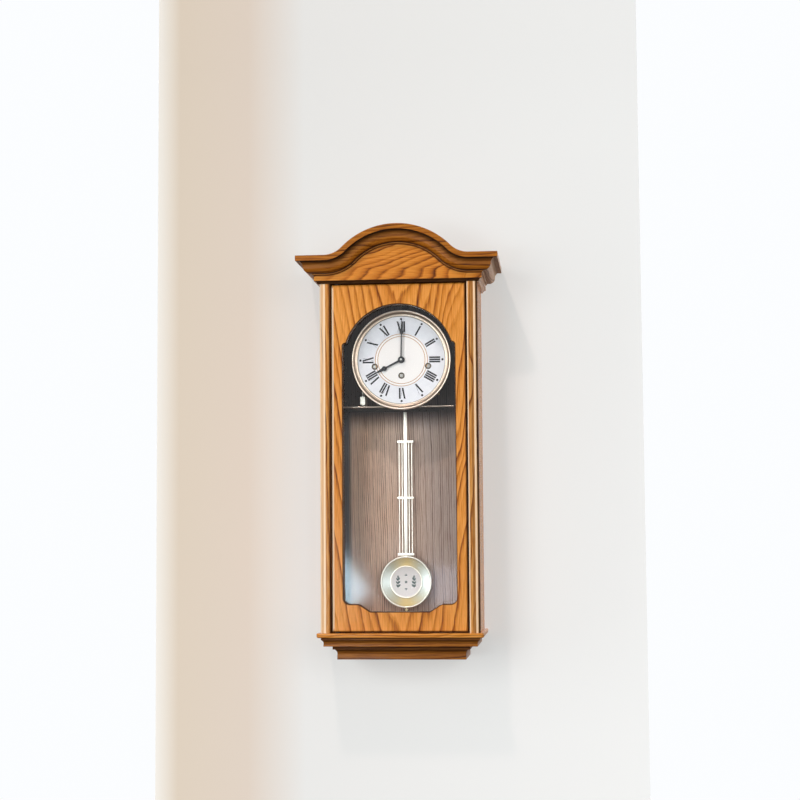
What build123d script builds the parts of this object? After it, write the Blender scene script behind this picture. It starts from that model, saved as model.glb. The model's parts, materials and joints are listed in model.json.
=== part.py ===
from build123d import *
import math
import os

os.makedirs("parts", exist_ok=True)

# Pendulum wall clock in an oak case, with a three-train chiming movement.
# All sizes are in millimetres. X is to the right and Z up. The wall is the plane Y = 0, and the
# clock stands in front of it, on the side of negative Y. The origin is the hanging hole.

# ---------------------------------------------------------------- driving dimensions

# Case
case_half = 117.5            # outer half width over the sides
case_height = 516.9          # sides, from the base plate to the underside of the crown
hang_drop = 18.4             # hanging hole below the underside of the crown
side_thick = 12.0
back_thick = 8.0
top_thick = 12.0
top_setback = 7.0            # top board behind the front of the columns

# Columns at the front corners
column_front = 130.5         # distance of the column's face from the wall
column_depth = 18.1          # column in front of the side
column_width = 15.5
column_outer_round = 5.0
column_inner_round = 3.0
quirk = 2.0                  # square groove between column and side

# Base, from the foot up; an outset is measured from the outside of sides and columns
foot_height = 20.0
foot_outset = -22.1          # face of the foot
foot_cove_start = 6.0
foot_cove_end = 15.0
foot_cove_depth = 3.6
foot_board_outset = -16.0
cove_height = 12.8
cove_low_outset = -4.1
cove_high_outset = -0.7
cove_fillet = 2.6
cove_lip = 3.0
hollow_out = 0.25            # bend of the base's hollows, as shares of their depth and height
hollow_up = 0.70
plate_thick = 6.7
plate_outset = 5.4
plate_edge_round = 2.4
plate_corner_round = 5.0

# Crown
frieze_outset_side = 7.5     # frieze face beyond the sides
frieze_outset_front = 5.0    # frieze face beyond the columns
frieze_thick = 12.0
frieze_height = 39.2         # from the crown's underside to the level ends of the moulding
frieze_cove_depth = 4.5
frieze_cove_height = 3.9
frieze_cove_bend = 0.70      # bend of the cove, as a share of its depth and height
moulding_projection = 24.5
moulding_fillet = 8.2        # flat band at the top of the moulding
moulding_step = 6.8
moulding_quirk = 0.8         # upright part of the step
ogee_hollow_out = 15.3       # points of the ogee: outset and drop below the moulding's top
ogee_hollow_drop = 11.6
ogee_neck_out = 14.4
ogee_neck_drop = 15.4
ogee_round_out = 12.3
ogee_round_drop = 21.6
ogee_foot_out = 4.8
ogee_foot_drop = 24.6
bead_height = 2.2
bead_round = 0.4
arch_level_end = 18.0        # level part of the crown's top at each corner
arch_inner_radius = 37.0     # hollow curve at each end
arch_crown_radius = 113.0    # round curve in the middle
cover_thick = 8.0
cover_drop = 4.0             # cover board below the moulding's level top

# Door
door_gap = 2.0               # beside the door
door_end_gap = 1.0           # above and below the door
door_thick = 18.0
door_setback = 4.1           # door face behind the column's face
door_edge_round = 3.0
stile_width = 16.4           # door frame beside the opening
window_ledge = 41.1          # side ledges of the opening above the door's lower edge
window_drop = 11.0           # middle of the opening below the side ledges
window_drop_inset = 22.6     # end of each side ledge from the side of the opening
window_drop_run = 17.5       # slope from the ledge to the dropped middle
head_rail = 30.7             # door frame above the arch of the opening
arch_rise = 57.3             # arch above the opening's shoulders
arch_step = 5.4              # shoulder beside the arch
window_corner_round = 9.6
window_shoulder_round = 4.5
window_bend_round = 8.0
rabbet_width = 5.8
rabbet_depth = 7.0
glass_thick = 3.0
glass_play = 0.3
pivot_radius = 2.0
pivot_inset = 8.0            # pivot axis from the door's edge
pivot_setback = 4.0          # pivot axis behind the door's face
pivot_reach = 10.0           # pin inside the door
pivot_root = 6.0             # pin inside the case
pivot_end_play = 2.0         # hole deeper than the pin
running_play = 0.05          # radial play of every running fit

# Catch
catch_height = 55.0          # above the lower end of the door
catch_width = 12.0
catch_depth = 14.0
catch_length = 30.0
strike_thick = 1.2
strike_width = 9.0
strike_inset = 0.5           # strike plate from the door's edge

# Dial and hands
dial_drop = 110.4            # dial centre below the underside of the crown
dial_depth = 80.5            # distance of the dial's face from the wall
dial_thick = 1.0
dial_radius = 74.0
bezel_radius = 75.5
bezel_inner = 66.5
bezel_depth = 5.2
bezel_lip = 1.0
bezel_crest = 3.0            # crest inside the bezel's edge
bezel_edge = 1.5             # upright edge inside and out
dial_centre_play = 0.4
dial_foot_radius = 2.0
dial_foot_x = 44.0
dial_foot_z = 30.0
winding_x = 40.4
winding_z = -9.7
winding_low_z = -23.7
grommet_radius = 4.8
grommet_bore = 3.4
grommet_neck = 4.0
grommet_flange = 0.6
hand_thick = 0.8
hour_hand_gap = 2.5          # back of the hand in front of the dial
minute_hand_gap = 5.7
hour_hand_length = 44.0
hour_disc_share = 0.657      # disc of the hour hand, as a share of its length
hour_disc_radius = 3.4
hour_root_half = 1.3         # half widths of the hour hand at the hub, the disc and the tip
hour_neck_half = 0.8
hour_tip_half = 1.9
hour_tip_start = 2.0         # tip beyond the disc's centre
hour_hand_angle = 243.0      # clockwise from twelve
minute_hand_length = 62.6
minute_hand_angle = 1.5
minute_spade_share = 0.67    # widest place of the spade, as a share of the hand's length
minute_root_half = 0.9
minute_neck_half = 0.6
minute_spade_half = 2.1
minute_spade_low = 4.0       # spade below and above its widest place
minute_spade_high = 5.0
hand_hub_radius = 5.1
minute_hub_radius = 4.1
hand_nut_radius = 2.8
hand_nut_thick = 1.6
hand_nut_gap = 0.1

# Movement
plate_half = 54.0            # half width of the movement plates
plate_top = 50.0             # above the dial centre
plate_bottom = -50.0
metal_thick = 2.0            # thickness of the movement plates
motion_gap = 8.5             # inner face of the front plate behind the dial's face
plate_distance = 34.0        # between the inner faces of the two plates
pillar_radius = 3.5
pillar_x = 49.0
pillar_high_z = 45.0
pillar_low_z = -37.0
standoff_radius = 4.0
arbor_radius = 1.0
centre_radius = 1.5
cannon_pipe_thick = 0.7
hour_pipe_thick = 1.0
stud_gap = 0.3               # stud of the minute wheel behind the dial
centre_arbor_end = 1.9       # centre arbor in front of the minute hand
winding_radius = 3.0
winding_pivot_radius = 1.5
winding_shoulder_gap = 0.3   # shoulder of the arbor in front of the back plate
winding_pivot_overlap = 1.0
winding_square = 4.2
winding_square_start = 4.0   # square, from behind the dial
winding_square_sink = 0.4    # end of the square below the dial's face
drum_radius = 17.5
drum_rear_gap = 15.0         # drum in front of the back plate
drum_front_gap = 2.0         # and behind the front plate

# Wheels: tooth counts, modules, and places of the wheels in front of the back plate
great_teeth = 72
idle_great_teeth = 66
centre_pinion_teeth = 9
centre_teeth = 75
centre_module = 0.5
third_pinion_teeth = 10
third_teeth = 80
third_module = 0.45
escape_pinion_teeth = 8
escape_teeth = 40
escape_radius = 12.5
escape_z = 22.0              # escape arbor above the dial centre
cannon_teeth = 14
cannon_module = 0.6
minute_wheel_teeth = 42
minute_pinion_teeth = 12
hour_teeth = 48
wheel_thick = 1.5
escape_thick = 1.2
hour_wheel_thick = 1.2
centre_wheel_gap = 8.5
third_wheel_gap = 3.5
escape_wheel_gap = 14.8
pinion_rear_reach = 1.0      # pinion behind and in front of the rear face of its wheel
pinion_front_reach = 2.6
centre_pinion_rear_reach = 0.4
centre_pinion_front_reach = 0.2
tooth_height = 0.85          # tooth above the pitch circle, in modules
tooth_depth = 1.15           # and below it
tooth_share = 0.40           # width of a tooth at the pitch circle, as a share of the pitch
escape_tooth_share = 0.28
tooth_root_share = 1.25      # root and tip of a tooth, as shares of that width
tooth_tip_share = 0.35
cannon_gap = 0.3             # motion work in front of the front plate
minute_wheel_gap = 0.8
hour_wheel_gap = 3.2
minute_pinion_reach = 1.4    # pinion past the rear of the hour wheel

# Anchor and crutch
pallet_play = 0.35           # pallets clear of the escape wheel's tips at rest
pallet_angle = 45.0          # pallets from the upright, round the escape arbor
pallet_width = 0.5
knee_out = 1.6               # elbow of the arm from the pallet's tip
knee_up = 2.4
arm_over = 0.8               # arm outside and inside the elbow
arm_under = 1.0
arm_under_drop = 0.6
arm_root_over = 1.6          # arm at the arbor, above and below
arm_root_under = 2.0
anchor_hub_radius = 2.6
crutch_drop = 32.0           # fork below the swing axis
crutch_offset = 4.7          # crutch in front of the pendulum's plane
crutch_thick = 1.5
crutch_width = 3.0
prong_play = 0.3
prong_width = 1.5
prong_height = 4.0
prong_reach = 3.0            # prongs behind the pendulum's plane

# Pendulum
pivot_z = 40.0               # swing axis above the dial centre
pendulum_gap = 10.7          # plane of the pendulum behind the back plate
spring_half = 4.0
spring_thick = 0.25
spring_width = 5.0
cock_half = 5.0
cock_height = 6.0
bar_width = 4.9
bar_thick = 2.0
rod_radius = 1.0
inner_rod_x = 5.2
outer_rod_x = 9.7
bar_tongue = 2.0             # end of the bar above the bob's lower edge
channel_end = 1.0            # channel past the bob's lower edge
thread_root = 4.0            # threaded rod inside the bar
bob_height = 71.9            # bob centre above the base plate
bob_radius = 39.6
bob_front = 6.2              # bob's face in front of the pendulum's plane
bob_rear = 2.8
bob_rim = 3.0
bob_dish = 2.4               # middle of the dish behind the rim
bob_lip = 1.2                # start of the dish behind the rim
bob_belly = 4.0              # bend of the dish outside its half radius
bob_edge_bevel = 2.0
bob_edge_height = 1.5
bob_round = 1.0
bob_round_width = 1.3
bob_channel_play = 0.1
medallion_radius = 24.8
medallion_thick = 1.6
medallion_play = 0.3
medallion_sink = 0.6
medallion_round = 0.6
cross_bar_width = 25.5
cross_bar_height = 3.5
cross_bar_depth = 4.0
cross_bar_round = 0.8
cross_bar_gap = 0.6          # lowest cross bar above the bob
cross_bar_share = 0.23       # distance between cross bars, as a share of the pendulum's length
cross_bar_count = 3
nut_radius = 4.5
nut_height = 3.4
nut_neck_radius = 2.2
nut_neck_height = 1.6
nut_play = 0.08
thread_length = 16.0

# Chime
rod_count = 4
rod_pitch = 7.0
rod_front_gap = 28.0         # front chime rod in front of the back plate
chime_rod_radius = 1.3
chime_rod_drop = 69.5        # front chime rod below the dial centre
chime_rod_fall = 1.8         # each rod below the one before
chime_rod_end_gap = 27.5     # front rod's free end from the right side
chime_rod_shortening = 8.0
chime_rod_seat = 6.0
block_gap = 4.5              # chime block from the left side
block_width = 10.0
block_height = 24.0
block_front = 5.0            # block in front of the front rod
hammer_pivot_x = -38.0
hammer_pivot_z = -44.0
hammer_head_x = -60.6
hammer_head_top = -54.0
hammer_head_width = 8.4
hammer_head_depth = 5.6
hammer_head_height = 11.8
hammer_head_round = 1.2
hammer_hub_radius = 2.8
hammer_hub_half = 2.5
hammer_arm = 2.0
hammer_arm_half = 0.8
hammer_root = 0.5            # stem and tip inside the head
hammer_stem_radius = 1.0
hammer_tip_radius = 1.6
hammer_gap = 0.8             # hammer tip above its rod

# Hanger
hanger_width = 30.0
hanger_height = 44.0
hanger_thick = 2.0
hanger_hole_radius = 5.0
hanger_slot_width = 5.0
hanger_slot_rise = 10.0
pocket_margin = 2.0

# ---------------------------------------------------------------- derived levels and places

hang_height = foot_height + cove_height + plate_thick + case_height - hang_drop
foot_z = -hang_height
cove_z = foot_z + foot_height
plate_z = cove_z + cove_height
case_z = plate_z + plate_thick
crown_z = case_z + case_height
moulding_z = crown_z + frieze_height
dial_z = crown_z - dial_drop
swing_z = dial_z + pivot_z
bob_z = case_z + bob_height
cross_bar_pitch = cross_bar_share * (swing_z - bob_z)

side_depth = column_front - column_depth
frieze_half = case_half + frieze_outset_side
frieze_front = column_front + frieze_outset_front
arch_run = frieze_half - arch_level_end
door_half = case_half - column_width - door_gap
door_face = column_front - door_setback
door_rear = door_face - door_thick
door_low = case_z + door_end_gap
door_high = crown_z - door_end_gap
window_half = door_half - stile_width
window_bend_half = window_half - window_drop_inset
window_drop_half = window_bend_half - window_drop_run
ledge_z = door_low + window_ledge
window_low = ledge_z - window_drop
window_high = door_high - head_rail
shoulder_z = window_high - arch_rise
arch_radius = ((window_half - arch_step)**2 + arch_rise**2) / (2 * arch_rise)
inner_half = case_half - side_thick
dial_rear = dial_depth - dial_thick
hour_hand_rear = dial_depth + hour_hand_gap
minute_hand_rear = dial_depth + minute_hand_gap
minute_hand_front = minute_hand_rear + hand_thick
cannon_pipe_radius = centre_radius + cannon_pipe_thick
hour_pipe_radius = cannon_pipe_radius + hour_pipe_thick
front_plate_depth = dial_depth - motion_gap
back_plate_depth = front_plate_depth - plate_distance
outer_back = back_plate_depth - metal_thick
outer_front = front_plate_depth + metal_thick
drum_rear_depth = back_plate_depth + drum_rear_gap
drum_front_depth = front_plate_depth - drum_front_gap
pendulum_y = outer_back - pendulum_gap
rod_front_y = back_plate_depth + rod_front_gap
third_distance = centre_module * (centre_teeth + third_pinion_teeth) / 2
escape_distance = third_module * (third_teeth + escape_pinion_teeth) / 2
third_z = (third_distance**2 - escape_distance**2 + escape_z**2) / (2 * escape_z)
third_x = math.sqrt(third_distance**2 - third_z**2)
great_module = -2 * winding_low_z / (great_teeth + centre_pinion_teeth)
minute_wheel_z = cannon_module * (cannon_teeth + minute_wheel_teeth) / 2
hour_module = 2 * minute_wheel_z / (hour_teeth + minute_pinion_teeth)
over = 1.0                   # surplus length of a cutter
far = 1000.0                 # larger than the whole clock


# ---------------------------------------------------------------- helpers

def save(name, shape):
    """Write one sub-part to its own STEP file."""
    export_step(shape, f"parts/{name}.step")


def slab(sketch, rear, front):
    """Solid of an (x, z) sketch between two distances from the wall, rear first."""
    plane = Plane(origin=(0, -rear, 0), x_dir=(1, 0, 0), z_dir=(0, -1, 0))
    return extrude(plane * sketch, amount=front - rear)


def disc(x, z, radius, rear, front):
    """Round bar along Y, between two distances from the wall."""
    return slab(Pos(x, z) * Circle(radius), rear, front)


def block(x0, x1, rear, front, z0, z1):
    """Box between two distances from the wall."""
    centre = Pos((x0 + x1) / 2, -(rear + front) / 2, (z0 + z1) / 2)
    return centre * Box(abs(x1 - x0), abs(front - rear), abs(z1 - z0))


def mirrored(shape):
    """The same piece on the other side of the clock."""
    return mirror(shape, about=Plane.YZ)


def upright_face(edges, x=0.0, z=0.0):
    """Face of a moulding's section in the plane Y = 0: outset along X and height along Z."""
    plane = Plane(origin=(x, 0, z), x_dir=(1, 0, 0), z_dir=(0, -1, 0))
    return plane * make_face(edges)


def plan_wedge(points, low=-far, high=far):
    """Tall prism over a plan outline, used to cut mitres."""
    outline = Pos(0, 0, low) * make_face(Polyline(*points, close=True))
    return extrude(outline, amount=high - low, dir=(0, 0, 1))


def side_mitre(corner_x, corner_front):
    """Space behind the right mitre plane, which runs at 45 degrees through a front corner."""
    x, y = corner_x, -corner_front
    return plan_wedge([(x - far, y + far), (x + far, y - far), (x + far, y + far)])


def front_mitre(corner_x, corner_front):
    """Space in front of both mitre planes."""
    x, y = corner_x, -corner_front
    return plan_wedge([(0, y + x), (x + far, y - far), (-x - far, y - far)])


def three_sided(section, face, depth, z):
    """Board whose front and sides carry one moulded section, with mitred corners.

    face is (half width, front) of the section's zero outset, and depth its largest outset.
    """
    half, front = face
    right = upright_face(section(half), half, z)
    across = extrude(right, amount=front + depth, dir=(0, -1, 0))
    across = across + mirrored(across)
    ahead = Rot(0, 0, -90) * upright_face(section(front), front, z)
    along = extrude(ahead, amount=half + depth, dir=(1, 0, 0), both=True)
    return across & along


def wheel(teeth, module, rear, front, x, z, tooth_at, thin=tooth_share):
    """Toothed wheel between two distances from the wall; tooth_at is the angle of one tooth.

    thin is the tooth's width at the pitch circle, as a share of the pitch.
    """
    pitch_radius = module * teeth / 2
    pitch_angle = 360 / teeth
    tip, root = pitch_radius + tooth_height * module, pitch_radius - tooth_depth * module
    widths = [(root, thin * tooth_root_share), (pitch_radius, thin), (tip, thin * tooth_tip_share)]
    corners = []
    for index in range(teeth):
        middle = tooth_at + index * pitch_angle
        rising = [(radius, middle - share * pitch_angle / 2) for radius, share in widths]
        falling = [(radius, middle + share * pitch_angle / 2) for radius, share in reversed(widths)]
        corners += rising + falling
    points = [(r * math.cos(math.radians(a)), r * math.sin(math.radians(a))) for r, a in corners]
    return slab(Pos(x, z) * make_face(Polyline(*points, close=True)), rear, front)


# ---------------------------------------------------------------- case

def keyhole(hole_radius, slot_width, rise):
    """Round hole at the origin with a slot above it."""
    slot = Pos(0, rise / 2) * Rectangle(slot_width, rise)
    return Circle(hole_radius) + slot + Pos(0, rise) * Circle(slot_width / 2)


def make_case():
    side = block(inner_half, case_half, 0, side_depth, case_z, crown_z)
    save("right_side", side)
    save("left_side", mirrored(side))

    pocket = keyhole(hanger_hole_radius + pocket_margin, hanger_slot_width + 2 * pocket_margin,
                     hanger_slot_rise)
    hanger_middle = hanger_slot_rise / 2
    seat = block(-hanger_width / 2, hanger_width / 2, 0, hanger_thick,
                 hanger_middle - hanger_height / 2 - hanger_slot_rise,
                 hanger_middle + hanger_height / 2 - hanger_slot_rise)
    panel = block(-inner_half, inner_half, 0, back_thick, case_z, crown_z)
    save("back_panel", panel - slab(pocket, 0, back_thick) - seat)
    hole = keyhole(hanger_hole_radius, hanger_slot_width, hanger_slot_rise)
    save("hanger_plate", seat - slab(hole, 0, hanger_thick))

    top_half = frieze_half - frieze_thick
    board = block(-top_half, top_half, 0, column_front - top_setback, crown_z, crown_z + top_thick)
    save("case_top_board", board - pivot_pin(crown_z, pivot_root))


def make_columns():
    inner = case_half - column_width
    column = block(inner, case_half, side_depth, column_front, case_z, crown_z)
    front_edges = column.edges().filter_by(Axis.Z).group_by(Axis.Y)[0].sort_by(Axis.X)
    column = fillet(front_edges[0], column_inner_round)
    outer_edge = column.edges().filter_by(Axis.Z).filter_by_position(
        Axis.X, case_half - quirk / 2, case_half + quirk / 2).sort_by(Axis.Y)[0]
    column = fillet(outer_edge, column_outer_round)
    groove = block(case_half - quirk, case_half, side_depth, side_depth + quirk, case_z, crown_z)
    column = column - groove
    save("right_column", column)
    save("left_column", mirrored(column))


# ---------------------------------------------------------------- base

def foot_section(inner):
    """Foot: a plain face, a cove above it and the square edge of the lower board."""
    board = foot_board_outset - foot_outset
    low, high = foot_cove_start, foot_cove_end
    bend = (foot_cove_depth * hollow_out, low + (high - low) * hollow_up)
    return [Line((-inner, 0), (0, 0)), Line((0, 0), (0, low)),
            ThreePointArc((0, low), bend, (foot_cove_depth, high)),
            Line((foot_cove_depth, high), (board, high)), Line((board, high), (board, foot_height)),
            Line((board, foot_height), (-inner, foot_height)),
            Line((-inner, foot_height), (-inner, 0))]


def cove_section(inner):
    """Cove between the foot and the base plate."""
    depth = cove_high_outset - cove_low_outset
    top = cove_height - cove_lip
    bend = (depth * hollow_out, cove_fillet + (top - cove_fillet) * hollow_up)
    return [Line((-inner, 0), (0, 0)), Line((0, 0), (0, cove_fillet)),
            ThreePointArc((0, cove_fillet), bend, (depth, top)),
            Line((depth, top), (depth, cove_height)),
            Line((depth, cove_height), (-inner, cove_height)),
            Line((-inner, cove_height), (-inner, 0))]


def make_base():
    foot_face = (case_half + foot_outset, column_front + foot_outset)
    save("base_foot", three_sided(foot_section, foot_face, foot_board_outset - foot_outset, foot_z))
    cove_face = (case_half + cove_low_outset, column_front + cove_low_outset)
    cove_depth = cove_high_outset - cove_low_outset
    save("base_cove", three_sided(cove_section, cove_face, cove_depth, cove_z))

    half, front = case_half + plate_outset, column_front + plate_outset
    plate = block(-half, half, 0, front, plate_z, case_z)
    corners = plate.edges().filter_by(Axis.Z).group_by(Axis.Y)[0]
    plate = fillet(corners, plate_corner_round)
    rims = [edge for edge in plate.edges()
            if abs(edge.center().Z - (plate_z + case_z) / 2) > plate_thick / 4
            and edge.center().Y < -plate_edge_round / 2]
    plate = fillet(rims, plate_edge_round)
    save("base_plate", plate - pivot_pin(case_z - pivot_root, pivot_root))


# ---------------------------------------------------------------- crown

def arch_angle():
    """Angle turned by each curve of the swan arch."""
    return math.asin(arch_run / (arch_inner_radius + arch_crown_radius))


def arch_path(end_x):
    """Top line of the crown as (x, z) edges: level ends, hollow curves and the round middle."""
    turn = arch_angle()
    high_z = moulding_z + (arch_inner_radius + arch_crown_radius) * (1 - math.cos(turn))

    def hollow(angle):
        return (arch_run - arch_inner_radius * math.sin(angle),
                moulding_z + arch_inner_radius * (1 - math.cos(angle)))

    start, meet, middle = (arch_run, moulding_z), hollow(turn), hollow(turn / 2)
    flip = [(-x, z) for x, z in (start, meet, middle)]
    return [Line((-end_x, moulding_z), flip[0]), ThreePointArc(flip[0], flip[2], flip[1]),
            ThreePointArc(flip[1], (0, high_z), meet), ThreePointArc(meet, middle, start),
            Line(start, (end_x, moulding_z))]


def crown_section():
    """Crown moulding, from its top down: flat band, step, ogee and bead."""
    band = moulding_projection
    shelf = band - moulding_step
    step = -moulding_fillet - moulding_quirk
    neck, foot = (ogee_neck_out, -ogee_neck_drop), (ogee_foot_out, -ogee_foot_drop)
    low = foot[1] - bead_height
    bend = (bead_height - bead_round, low + bead_round + bead_height / 10)
    return [Line((0, 0), (band, 0)), Line((band, 0), (band, -moulding_fillet)),
            Line((band, -moulding_fillet), (shelf, -moulding_fillet)),
            Line((shelf, -moulding_fillet), (shelf, step)),
            ThreePointArc((shelf, step), (ogee_hollow_out, -ogee_hollow_drop), neck),
            ThreePointArc(neck, (ogee_round_out, -ogee_round_drop), foot),
            Line(foot, (bead_height, foot[1])),
            ThreePointArc((bead_height, foot[1]), bend, (0, low)), Line((0, low), (0, 0))]


def make_crown():
    turned = Plane(origin=(0, -frieze_front, 0), x_dir=(1, 0, 0), z_dir=(0, -1, 0))
    end = frieze_half + moulding_projection + over
    path = turned * Wire(arch_path(end))
    start = (-end, -frieze_front, moulding_z)
    section_plane = Plane(origin=start, x_dir=(0, -1, 0), z_dir=(-1, 0, 0))
    arch = sweep(section_plane * make_face(crown_section()), path=path)
    arch = arch & front_mitre(frieze_half, frieze_front)
    save("crown_arch_moulding", arch)

    section = upright_face(crown_section(), frieze_half, moulding_z)
    run = extrude(section, amount=frieze_front + moulding_projection + over, dir=(0, -1, 0))
    run = run & side_mitre(frieze_half, frieze_front)
    save("crown_return_right", run)
    save("crown_return_left", mirrored(run))
    make_frieze()


def frieze_section(height):
    """Frieze board with a coved lower edge."""
    low = (-frieze_cove_depth, 0)
    high = (0, frieze_cove_height)
    bend = (-frieze_cove_depth * frieze_cove_bend, frieze_cove_height * frieze_cove_bend)
    return [Line((-frieze_thick, 0), low), ThreePointArc(low, bend, high),
            Line(high, (0, height)), Line((0, height), (-frieze_thick, height)),
            Line((-frieze_thick, height), (-frieze_thick, 0))]


def make_frieze():
    side = upright_face(frieze_section(frieze_height), frieze_half, crown_z)
    side = extrude(side, amount=frieze_front + over, dir=(0, -1, 0))
    side = side & side_mitre(frieze_half, frieze_front)
    save("crown_frieze_right", side)
    save("crown_frieze_left", mirrored(side))

    tall = upright_face(frieze_section(far), frieze_front, crown_z)
    board = extrude(Rot(0, 0, -90) * tall, amount=frieze_half + over, dir=(1, 0, 0), both=True)
    board = board & front_mitre(frieze_half, frieze_front)
    end, low = frieze_half + 2 * over, crown_z - over
    outline = arch_path(end)
    outline += [Line((end, moulding_z), (end, low)), Line((end, low), (-end, low)),
                Line((-end, low), (-end, moulding_z))]
    board = board & slab(make_face(outline), 0, far)
    save("crown_frieze_front", board - pivot_pin(crown_z, pivot_root))

    half = frieze_half - frieze_thick
    top = moulding_z - cover_drop
    save("crown_cover_board", block(-half, half, 0, frieze_front - frieze_thick,
                                    top - cover_thick, top))


# ---------------------------------------------------------------- door

def pivot_place():
    """Axis of the door's pivots, in plan."""
    return -door_half + pivot_inset, -(door_face - pivot_setback)


def pivot_pin(low, length, play=0.0):
    """Upright pin on the pivot axis, or the hole for it."""
    x, y = pivot_place()
    return Pos(x, y, low + length / 2) * Cylinder(pivot_radius + play, length)


def window_outline():
    """Opening of the door: an arch on shoulders, and a dropped middle at the foot."""
    straight = Pos(0, (ledge_z + shoulder_z) / 2) * Rectangle(2 * window_half, shoulder_z - ledge_z)
    above = Pos(0, shoulder_z + far / 2) * Rectangle(far, far)
    arch = (Pos(0, window_high - arch_radius) * Circle(arch_radius)) & above
    bend, drop_half = window_bend_half, window_drop_half
    drop = make_face(Polyline((-bend, ledge_z), (-drop_half, window_low),
                              (drop_half, window_low), (bend, ledge_z), close=True))
    shape = straight + arch + drop

    def near(x, z):
        return [v for v in shape.vertices() if abs(abs(v.X) - x) < 0.5 and abs(v.Y - z) < 0.5]

    shape = fillet(near(window_half, ledge_z), window_corner_round)
    shape = fillet(near(window_half, shoulder_z), window_shoulder_round)
    shape = fillet(near(bend, ledge_z), window_bend_round)
    return fillet(near(drop_half, window_low), window_bend_round)


def make_door():
    panel = block(-door_half, door_half, door_rear, door_face, door_low, door_high)
    panel = fillet(panel.faces().sort_by(Axis.Y)[0].edges(), door_edge_round)
    panel = panel - slab(window_outline(), 0, far)
    rabbet_half = window_half + rabbet_width
    rabbet_low, rabbet_high = window_low - rabbet_width, window_high + rabbet_width
    glass_front = door_rear + rabbet_depth
    panel = panel - block(-rabbet_half, rabbet_half, door_rear, glass_front,
                          rabbet_low, rabbet_high)
    hole_depth = pivot_reach + pivot_end_play
    panel = panel - pivot_pin(door_low, hole_depth, running_play)
    panel = panel - pivot_pin(door_high - hole_depth, hole_depth, running_play)
    save("door_panel", panel)

    glass_half = rabbet_half - glass_play
    glass_rear = glass_front - glass_thick
    save("door_glass", block(-glass_half, glass_half, glass_rear, glass_front,
                             rabbet_low + glass_play, rabbet_high - glass_play))
    upright = block(window_half, rabbet_half, door_rear, glass_rear, rabbet_low, rabbet_high)
    lower = block(-window_half, window_half, door_rear, glass_rear,
                  rabbet_low, rabbet_low + rabbet_width)
    upper = block(-window_half, window_half, door_rear, glass_rear,
                  rabbet_high - rabbet_width, rabbet_high)
    save("glass_beads", Compound([upright, mirrored(upright), lower, upper]))
    make_pivots()
    make_catch()


def make_pivots():
    """Two pins pressed into the case, each through a washer that spaces the door."""
    low = pivot_pin(case_z - pivot_root, pivot_root + door_end_gap + pivot_reach)
    high = pivot_pin(door_high - pivot_reach, pivot_root + door_end_gap + pivot_reach)
    x, y = pivot_place()
    washer = Cylinder(2 * pivot_radius, door_end_gap) - Cylinder(pivot_radius, door_end_gap)
    lower_washer = Pos(x, y, case_z + door_end_gap / 2) * washer
    upper_washer = Pos(x, y, crown_z - door_end_gap / 2) * washer
    save("door_pivots", Compound([low, high, lower_washer, upper_washer]))


def make_catch():
    """Magnet on the right side and its steel plate on the door."""
    z = door_low + catch_height
    face = door_rear - strike_thick
    save("magnetic_catch", block(inner_half - catch_width, inner_half, face - catch_depth, face,
                                 z - catch_length / 2, z + catch_length / 2))
    outer = door_half - strike_inset
    save("strike_plate", block(outer - strike_width, outer, face, door_rear,
                               z - catch_length / 2, z + catch_length / 2))


# ---------------------------------------------------------------- dial and hands

def winding_places():
    """Names and (x, z) places of the three winding arbors, from the dial centre."""
    return {"strike": (-winding_x, winding_z), "time": (0, winding_low_z),
            "chime": (winding_x, winding_z)}


def at_dial(x, z, radius, rear, front):
    """Round bar placed from the dial centre."""
    return disc(x, dial_z + z, radius, rear, front)


def make_dial():
    plate = at_dial(0, 0, dial_radius, dial_rear, dial_depth)
    for x in (-dial_foot_x, dial_foot_x):
        for z in (-dial_foot_z, dial_foot_z):
            plate = plate + at_dial(x, z, dial_foot_radius, outer_front, dial_rear)
    plate = plate - at_dial(0, 0, hour_pipe_radius + dial_centre_play, dial_rear, dial_depth)
    grommets = []
    for x, z in winding_places().values():
        plate = plate - at_dial(x, z, grommet_neck, dial_rear, dial_depth)
        ring = at_dial(x, z, grommet_neck, dial_rear, dial_depth)
        ring = ring + at_dial(x, z, grommet_radius, dial_depth, dial_depth + grommet_flange)
        grommets.append(ring - at_dial(x, z, grommet_bore, dial_rear, dial_depth + bezel_depth))
    save("dial_plate", plate)
    save("winding_grommets", Compound(grommets))

    face, high = -dial_depth, -dial_depth - bezel_depth
    lip = dial_radius + running_play
    section = Polyline((bezel_inner, face), (bezel_inner, face - bezel_edge),
                       (bezel_radius - bezel_crest, high), (bezel_radius, high + bezel_edge),
                       (bezel_radius, face + bezel_lip), (lip, face + bezel_lip), (lip, face),
                       close=True)
    ring = revolve(make_face(section), axis=Axis.Y)
    save("dial_bezel", Pos(0, 0, dial_z) * ring)


def hand(outline, angle, bore, rear):
    """Flat hand pointing up, turned clockwise by an angle round the dial centre."""
    turned = Pos(0, dial_z) * Rot(0, 0, -angle) * (outline - Circle(bore))
    return slab(turned, rear, rear + hand_thick)


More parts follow.
